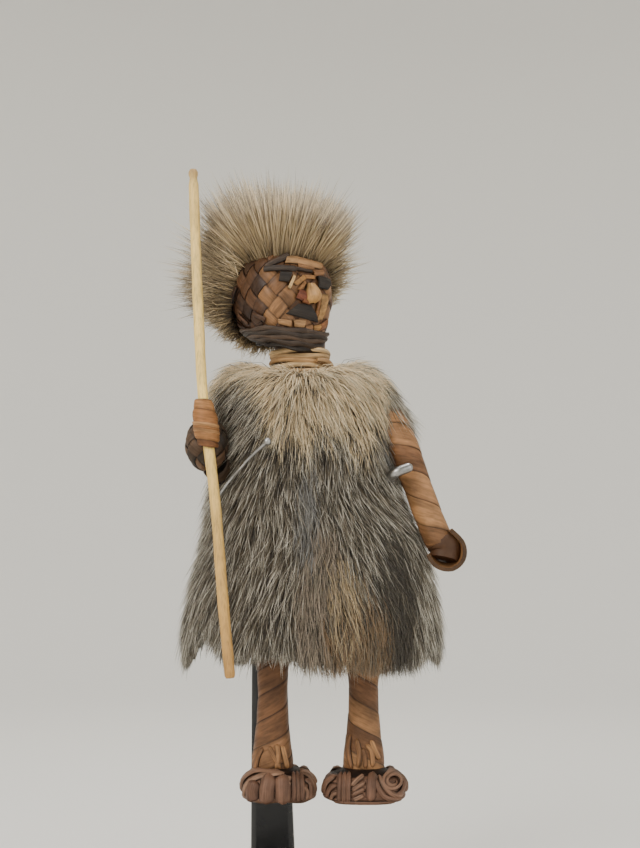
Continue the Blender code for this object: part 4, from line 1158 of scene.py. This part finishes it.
# Each zone's colour at the root, along the hair and at the tip
FUR_COLOURS = (
    ((0.42, 0.30, 0.16), (0.84, 0.67, 0.42), (0.93, 0.82, 0.60)),
    ((0.31, 0.215, 0.11), (0.67, 0.50, 0.285), (0.81, 0.65, 0.41)),
    ((0.075, 0.06, 0.04), (0.19, 0.16, 0.112), (0.34, 0.30, 0.225)),
    ((0.020, 0.016, 0.011), (0.043, 0.033, 0.022), (0.085, 0.07, 0.048)),
    ((0.045, 0.033, 0.019), (0.105, 0.078, 0.044), (0.19, 0.148, 0.09)),
    ((0.085, 0.05, 0.026), (0.225, 0.138, 0.068), (0.34, 0.225, 0.12)),
    ((0.09, 0.084, 0.076), (0.23, 0.22, 0.20), (0.38, 0.37, 0.35)),
    ((0.06, 0.048, 0.034), (0.23, 0.195, 0.14), (1.0, 0.94, 0.80)),
    ((0.11, 0.08, 0.056), (0.29, 0.225, 0.16), (0.43, 0.35, 0.26)),
    ((0.2, 0.135, 0.065), (0.50, 0.365, 0.195), (0.68, 0.53, 0.33)),
    ((0.20, 0.135, 0.062), (0.44, 0.325, 0.165), (0.60, 0.475, 0.275)),
    ((0.07, 0.047, 0.022), (0.165, 0.115, 0.056), (0.25, 0.185, 0.098)),
    ((0.42, 0.31, 0.17), (0.34, 0.245, 0.13), (0.10, 0.073, 0.045)),
)
FUR = fur_material("ticked_fur", FUR_COLOURS)


def cloak_zone(x, y, h, guard, chance):
    """The pelt's colour zone at a place of its front, sides and back, for under hair or guard hair."""
    count = len(x)
    pick = chance.random(count)
    blur = chance.normal(0, 1, count)
    if guard:
        zone = np.where(pick < 0.64, GUARD, np.where(pick < 0.8, GREY, DARK))
    else:
        zone = np.where(pick < 0.36, OLIVE, np.where(pick < 0.86, DARK, GREY))
    front = y < -4
    x, h = x + 1.2 * blur, h + 2.2 * chance.normal(0, 1, count)

    def within(middle_x, middle_h, half_x, half_h):
        return front & (((x - middle_x) / half_x) ** 2 + ((h - middle_h) / half_h) ** 2 < 1)

    wander = 3 * np.sin(x * 0.35) + 2.5 * np.sin(x * 0.8 + h * 0.12)
    few, some, most = pick < 0.45, pick < 0.68, pick < 0.85
    zone = np.where(within(4, 52, 7.5, 24) & some, MAUVE, zone)
    zone = np.where(within(23.5, 54, 6, 21) & some, DARK, zone)
    zone = np.where(within(13, 45, 9, 13) & some, BROWN, zone)
    zone = np.where(within(10, 54, 5, 12) & few, BLOND, zone)
    zone = np.where(within(-0.5, 79, 2.6, 14) & most, BLUE, zone)
    zone = np.where(within(26, 103, 7, 12) & some, BLUE, zone)
    dark_chest = within(-22, 105, 9, 12)
    under_chest = np.where(few, DARK, np.where(some, GUARD, OLIVE))
    zone = np.where(dark_chest, np.where(most, GUARD, OLIVE) if guard else under_chest, zone)
    cream = (h > np.where(front, 99 + wander, 112 + wander)) & ~dark_chest & ~(front & (x > 23))
    zone = np.where(cream & most, np.where(few, SAND, CREAM), zone)
    zone = np.where(front & (x > 31) & (h < 62) & some & guard, GUARD, zone)
    return zone


# Under hair in tufts, and over it straight pale guard hair: locks in a quarter, hairs a lock, the lock's
# half width, how far its tips draw together, hair radii, length and lift against the pelt's own
FUR_LAYERS = ((840, 12, 2.1, 0.3, (0.09, 0.15), 1.0, 1.0), (1500, 3, 1.4, 0.1, (0.07, 0.11), 1.25, 1.3))
FUR_LENGTHS = ((0, 7), (14, 8.5), (40, 9), (75, 9.8), (CLOAK_LENGTH, 10.5))
FUR_LIFTS = ((0, 0.30), (12, 0.27), (30, 0.24), (50, 0.2), (CLOAK_LENGTH, 0.16))
CLOAK_AREA = np.concatenate([[0], np.cumsum(CLOAK_STEPS * (CLOAK_SAMPLES[1:, 3] + CLOAK_SAMPLES[1:, 4]))])
HEM_ROOTS = 4.5
SKIN_DEPTH = 1.4
SKIN_HEM = 1.5
# How far the fur's ragged edge falls below the pelt's, by degrees round from the doll's left, where
# -90 is its front and 90 its back
HEM_EDGE = ((-180, 0.5), (-171, 1.5), (-160, -1), (-148, -6.5), (-140, -7), (-132, -3.5), (-122, -2),
            (-100, -2), (-93, 0.5), (-80, 1.8), (-68, 1.2), (-55, 1.0), (-42, 2.4), (-32, -2.5), (-22, -5),
            (-12, -1), (0, -0.5), (30, 0.5), (60, 1.5), (90, 0.5), (105, 0), (125, -5), (150, -7),
            (165, -3), (174, 0), (180, 0.5))


bm = new_bmesh()


def skin_place(along, across, out):
    notch = min(0, np.interp(along * 360 if along < 0.5 else along * 360 - 360, *zip(*HEM_EDGE)))
    way = (across + 1) / 2 * (CLOAK_LENGTH - SKIN_HEM + notch)
    point = cloak_skin(np.array([way]), np.array([2 * math.pi * along]))[0]
    away = cloak_out(np.array([way]), np.array([2 * math.pi * along]))[0]
    return Vector(point + away * (out - SKIN_DEPTH)) * MM


lay_strip(bm, skin_place, 72, 46, 180, 0.2, 1.0)
bmesh.ops.remove_doubles(bm, verts=bm.verts[:], dist=0.00001)
set_piece("pelt_skin_painted_shade", bm, pelt_skin_painted_shade(), "cloak_fur", "cloak")


def pelt_hairs(part, layer, chance):
    """One quarter's hairs of a layer: they fall down the pelt and fan out to both sides of its middle."""
    count, per_lock, reach, gathered, _, long, lifted = layer
    lock_way = np.interp(chance.random(count) * CLOAK_AREA[-1], CLOAK_AREA, CLOAK_WAY)
    lock_way = np.minimum(lock_way, CLOAK_LENGTH - HEM_ROOTS - 4 * chance.random(count))
    lock_angle = (chance.random(count) + part) * np.pi / 2
    own, across, down = locks(chance, count, per_lock, reach)
    total = len(own)
    way, angle = lock_way[own], lock_angle[own]
    round_mm = np.interp(way, CLOAK_WAY, (CLOAK_SAMPLES[:, 3] + CLOAK_SAMPLES[:, 4]) / 2)
    length = np.interp(way, *zip(*FUR_LENGTHS)) * long
    length = length * (0.8 + 0.35 * chance.random(count)[own]) * (0.8 + 0.35 * chance.random(total))
    fan = -np.interp(way, [0, 24, 36, CLOAK_LENGTH], [0.7, 0.5, 0.2, 0.05]) * np.sin(2 * lock_angle)[own]
    fan = fan * np.where(np.cos(lock_angle) > 0, 0.6, 1.0)[own]
    lean = fan + (chance.normal(0, 0.11, count) + 0.1 * np.sin(lock_angle * 5 + lock_way * 0.11))[own]
    lean = lean + chance.normal(0, 0.07 * lifted, total)
    degrees = (np.degrees(angle) + 180) % 360 - 180
    hem = CLOAK_LENGTH + np.interp(degrees, *zip(*HEM_EDGE)) + 0.8 * np.sin(11 * angle)
    hem = hem + np.minimum(chance.exponential(0.8, total), 5)
    room = hem - way - down * 0.6
    length = np.minimum(length, np.maximum(0.5, room / np.cos(lean)))
    lift = np.interp(way, *zip(*FUR_LIFTS)) * lifted * (0.5 + chance.random(total))
    curl = chance.normal(0, 0.02, count)[own] + chance.normal(0, 0.02, total)
    points = np.empty((total, FUR_STATIONS, 3))
    for station in range(FUR_STATIONS):
        t = station / (FUR_STATIONS - 1)
        gather = 1 - gathered * t
        sideways = across * gather + length * (np.sin(lean) * t + curl * math.sin(math.pi * t))
        spot_way = np.maximum(0.2, way + down * gather + length * np.cos(lean) * t * 0.97)
        spot_angle = angle + sideways / round_mm
        off = lift * length * (1.4 * t - 0.4 * t * t) - 0.3
        away = cloak_out(np.minimum(spot_way, CLOAK_LENGTH), spot_angle)
        points[:, station] = cloak_skin(spot_way, spot_angle) + away * off[:, None]
    return points[room > 2.5]


ARM_TUFT = 700


def arm_tuft(chance):
    """Longer hairs that fall over the top of the left arm and stand out behind it."""
    way, angle = 13 + 9 * chance.random(ARM_TUFT), -0.5 + 0.75 * chance.random(ARM_TUFT)
    root, out = cloak_skin(way, angle), cloak_out(way, angle)
    length = 8 + 5 * chance.random(ARM_TUFT)
    ahead = 0.42 * out + np.array((0.25, -0.1, -0.75)) + chance.normal(0, 0.12, (ARM_TUFT, 3))
    drop = np.array((0.0, 0.0, -0.22))
    return np.stack([root + (ahead * t + drop * t * t) * length[:, None] for t in (0, 0.5, 1)], axis=1)


for part in range(4):
    chance = np.random.default_rng(100 + part)
    points, radii, zones = [], [], []
    for layer in FUR_LAYERS:
        points.append(pelt_hairs(part, layer, chance))
        x, y, z = points[-1][:, 1].T
        zones.append(cloak_zone(x, y, z - SOLE_HEIGHT, layer is FUR_LAYERS[1], chance))
        thin, thick = layer[4]
        radii.append(thin + (thick - thin) * chance.random(len(x)))
    if part == 3:
        points.append(arm_tuft(chance))
        zones.append(np.where(chance.random(ARM_TUFT) < 0.4, GUARD,
                              np.where(chance.random(ARM_TUFT) < 0.5, GREY, DARK)))
        radii.append(0.08 + 0.05 * chance.random(ARM_TUFT))
    points, radii, zones = (np.concatenate(rows) for rows in (points, radii, zones))
    grow_fur(f"cloak_fur_{part + 1}", points, radii, zones, chance, FUR, "cloak_fur")


# Hair. A mop of longer fur on its own skin, tied over the crown and the back of the head and brushed
# away from the face, golden taupe with dark tips at the top.

HAIR_AXIS = Vector((-0.40, 0.60, 0.69)).normalized()
HAIR_PEAK = np.array(Vector((-0.5, 0.1, 0.86)).normalized())
HAIR_SPREAD = math.radians(76)
HAIR_REACH = 26
HAIR_PEAK_REACH = 12
HAIR_CREST = np.array(Vector((0.45, 0.1, 0.88)).normalized())
HAIR_CREST_REACH = 7
HAIR_FRONT_SHARE = 0.25
SCALP_RADIUS = 16.6
HAIR_ACROSS = np.array(HAIR_AXIS.orthogonal())
HAIR_LIFT = np.cross(np.array(HAIR_AXIS), HAIR_ACROSS)


def hair_way(polar, angle):
    """Directions from the head's middle, at a polar angle from the mop's axis."""
    sideways = np.cos(angle)[:, None] * HAIR_ACROSS + np.sin(angle)[:, None] * HAIR_LIFT
    return np.array(HAIR_AXIS) * np.cos(polar)[:, None] + sideways * np.sin(polar)[:, None]


def hair_reach(way):
    crest = HAIR_CREST_REACH * np.maximum(0, way @ HAIR_CREST) ** 10
    return HAIR_REACH + HAIR_PEAK_REACH * np.maximum(0, way @ HAIR_PEAK) ** 3 + crest


bm = new_bmesh()


def scalp_place(along, across, out):
    polar = np.array([(across + 1) / 2 * (HAIR_SPREAD + 0.02) + 0.02])
    way = hair_way(polar, np.array([2 * math.pi * along]))[0]
    way[1] *= HAIR_FRONT_SHARE if way[1] < 0 else 1
    return at(*HEAD_MIDDLE) + Vector(way * (SCALP_RADIUS + out)) * MM


lay_strip(bm, scalp_place, 40, 16, 90, 0.1, 1.0)
bmesh.ops.remove_doubles(bm, verts=bm.verts[:], dist=0.00001)
# The scalp takes the pelt's skin colour, painted shade under the hair.
set_piece("scalp_skin", bm, bpy.data.materials["pelt_skin_painted_shade"], "hair_fur", "hair_fur")

HAIR_ROOT = 15.6
RIM_ROOT = 15.5
# Locks and hairs a lock, for the mop and for its rim, and the rim's two ends in degrees round the head
MOP_LOCKS = (620, 22)
RIM_LOCKS = (230, 22)
RIM_TURNS = (-112, 62)


def mop_hairs(chance):
    """Hairs that stand out from the crown and the back of the head."""
    count, per_lock = MOP_LOCKS
    polar = np.arccos(1 - chance.random(count) * (1 - math.cos(HAIR_SPREAD + 0.06)))
    own, across, down = locks(chance, count, per_lock, 2.8)
    way = hair_way(polar, chance.random(count) * 2 * np.pi)
    side = unit(np.cross(way, chance.normal(size=(count, 3))))
    other = np.cross(way, side)
    total = len(own)
    reach = hair_reach(way)[own] * (0.85 + 0.15 * chance.random(count)[own])
    reach = reach * (0.9 + 0.18 * chance.random(total))
    reach = reach * np.where(chance.random(total) < 0.08, 1.14, 1.0)
    face_side = np.clip((way[:, 0] - 0.3) * 3, 0, 1) * np.clip((0.5 - way[:, 2]) * 3, 0, 1)
    nape = np.clip((0.12 - way[:, 2]) * 2.5, 0, 1)
    reach = HAIR_ROOT + (reach - HAIR_ROOT) * ((1 - 0.7 * face_side) * (1 - 0.6 * nape))[own]
    combed = (way - np.array(HAIR_AXIS) * (way @ np.array(HAIR_AXIS))[:, None])[own]
    combed = combed * 0.22 + np.array((0.0, 0.0, -0.10)) + chance.normal(0, 0.05, (count, 3))[own]
    points = np.empty((total, FUR_STATIONS, 3))
    for station in range(FUR_STATIONS):
        t = station / (FUR_STATIONS - 1)
        spot = way[own] * (HAIR_ROOT + (reach - HAIR_ROOT) * t)[:, None]
        spot = spot + (side[own] * across[:, None] + other[own] * down[:, None]) * (1 - 0.15 * t)
        spot = spot + combed * (t**1.6 * (reach - HAIR_ROOT))[:, None]
        spot = spot + chance.normal(0, 0.2 + 0.9 * t, (total, 3))
        spot[:, 1] = np.where(spot[:, 1] < 0, spot[:, 1] * HAIR_FRONT_SHARE, spot[:, 1])
        points[:, station] = spot + np.array(HEAD_MIDDLE) + np.array((0, 0, SOLE_HEIGHT))
    return points


def rim_hairs(chance):
    """Finer hairs rooted along the top edge of the head, which fan up and out round the face."""
    count, per_lock = RIM_LOCKS
    middle = np.array(at(*HEAD_MIDDLE)) / MM
    turns = RIM_TURNS[0] + (RIM_TURNS[1] - RIM_TURNS[0]) * chance.random(count)
    rises = 11.6 + 2.4 * chance.random(count)
    roots = np.array([head_point(turn, rise, -0.4) / MM for turn, rise in zip(turns, rises)])
    own, across, down = locks(chance, count, per_lock, 1.6)
    total = len(own)
    way = unit((roots - middle) * np.array((1.0, 0.25, 1.05)) + chance.normal(0, 1.0, (count, 3)))
    length = (hair_reach(way) - RIM_ROOT)[own] * (0.72 + 0.4 * chance.random(total))
    start = roots[own] + np.stack([across, down * 0.4, down * 0.3], axis=-1)
    way = way[own] + chance.normal(0, 0.07, (total, 3))
    bend = np.array((0.0, 0.12, 0.05)) + chance.normal(0, 0.05, (total, 3))
    shares = [station / (FUR_STATIONS - 1) for station in range(FUR_STATIONS)]
    return np.stack([start + (way * t + bend * t * t) * length[:, None] for t in shares], axis=1)


chance = np.random.default_rng(200)
mop, rim = mop_hairs(chance), rim_hairs(chance)
pick = chance.random(len(mop))
x, y, z = mop[:, 1].T
height = z - SOLE_HEIGHT + chance.normal(0, 3, len(mop))
zone = np.where(pick < 0.52, KHAKI, np.where(pick < 0.76, UMBER, BLOND))
zone = np.where((x < -22) & (height < 158) & (pick > 0.15) & (pick < 0.78), UMBER, zone)
zone = np.where((height > 158) & (pick > 0.38), FAWN, zone)
rim_pick = chance.random(len(rim))
rim_zone = np.where(rim_pick < 0.4, FAWN, np.where(rim_pick < 0.7, BLOND, KHAKI))
points, zones = np.concatenate([mop, rim]), np.concatenate([zone, rim_zone])
radii = 0.11 + 0.07 * chance.random(len(points))
grow_fur("hair_strands", points, radii, zones, chance, FUR, "hair_fur")


# Studio. A plain pale floor that curves up into a wall all round, three soft lamps, a pale sky, and a
# camera in front at the height of the doll's left hand.

FLOOR_RADIUS = 0.55
FLOOR_CURVE = 0.5
WALL_HEIGHT = 2.4

bm = bmesh.new()
profile = [Vector((0, 0, 0)), Vector((FLOOR_RADIUS, 0, 0))]
for step in range(1, 13):
    angle = math.pi / 2 * step / 12
    profile.append(Vector((FLOOR_RADIUS + FLOOR_CURVE * math.sin(angle), 0,
                           FLOOR_CURVE * (1 - math.cos(angle)))))
profile.append(Vector((FLOOR_RADIUS + FLOOR_CURVE, 0, WALL_HEIGHT)))
line = [bm.verts.new(point) for point in profile]
edges = [bm.edges.new(pair) for pair in zip(line, line[1:])]
bmesh.ops.spin(bm, geom=line + edges, cent=(0, 0, 0), axis=(0, 0, 1), angle=2 * math.pi, steps=96,
               use_merge=True)
bmesh.ops.remove_doubles(bm, verts=bm.verts[:], dist=0.00001)
mesh = mesh_from(bm, "floor")
mesh.shade_smooth()
material, tree, shader = new_material("pale_floor", 0.9)
shader.inputs["Base Color"].default_value = (0.78, 0.765, 0.72, 1)
mesh.materials.append(material)
floor = bpy.data.objects.new("floor", mesh)
bpy.context.scene.collection.objects.link(floor)
floor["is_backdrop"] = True

for name, size, energy, colour, place in (
    ("key", 0.5, 6.0, (1.0, 0.97, 0.93), (-0.45, -0.65, 0.62)),
    ("fill", 0.6, 2.4, (0.96, 0.98, 1.0), (0.62, -0.55, 0.3)),
    ("top", 0.5, 4.5, (1.0, 0.98, 0.95), (0.05, 0.12, 0.85)),
):
    lamp = bpy.data.lights.new(name, "AREA")
    lamp.size = size
    lamp.energy = energy
    lamp.color = colour
    light = bpy.data.objects.new(name, lamp)
    light.location = place
    light.rotation_euler = (Vector((0, 0, 0.12)) - Vector(place)).to_track_quat("-Z", "Y").to_euler()
    bpy.context.scene.collection.objects.link(light)

world = bpy.data.worlds.new("soft_sky")
world.use_nodes = True
world.node_tree.nodes["Background"].inputs["Color"].default_value = (0.93, 0.95, 1.0, 1)
world.node_tree.nodes["Background"].inputs["Strength"].default_value = 0.85
bpy.context.scene.world = world

camera_data = bpy.data.cameras.new("camera")
camera_data.sensor_fit = "VERTICAL"
camera_data.sensor_height = 36
camera_data.lens = 54.085
camera = bpy.data.objects.new("camera", camera_data)
camera.location = (0.0029, -0.369, 0.1072)
camera.rotation_euler = (math.radians(95.4), 0, 0)
bpy.context.scene.collection.objects.link(camera)
bpy.context.scene.camera = camera

low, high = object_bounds()
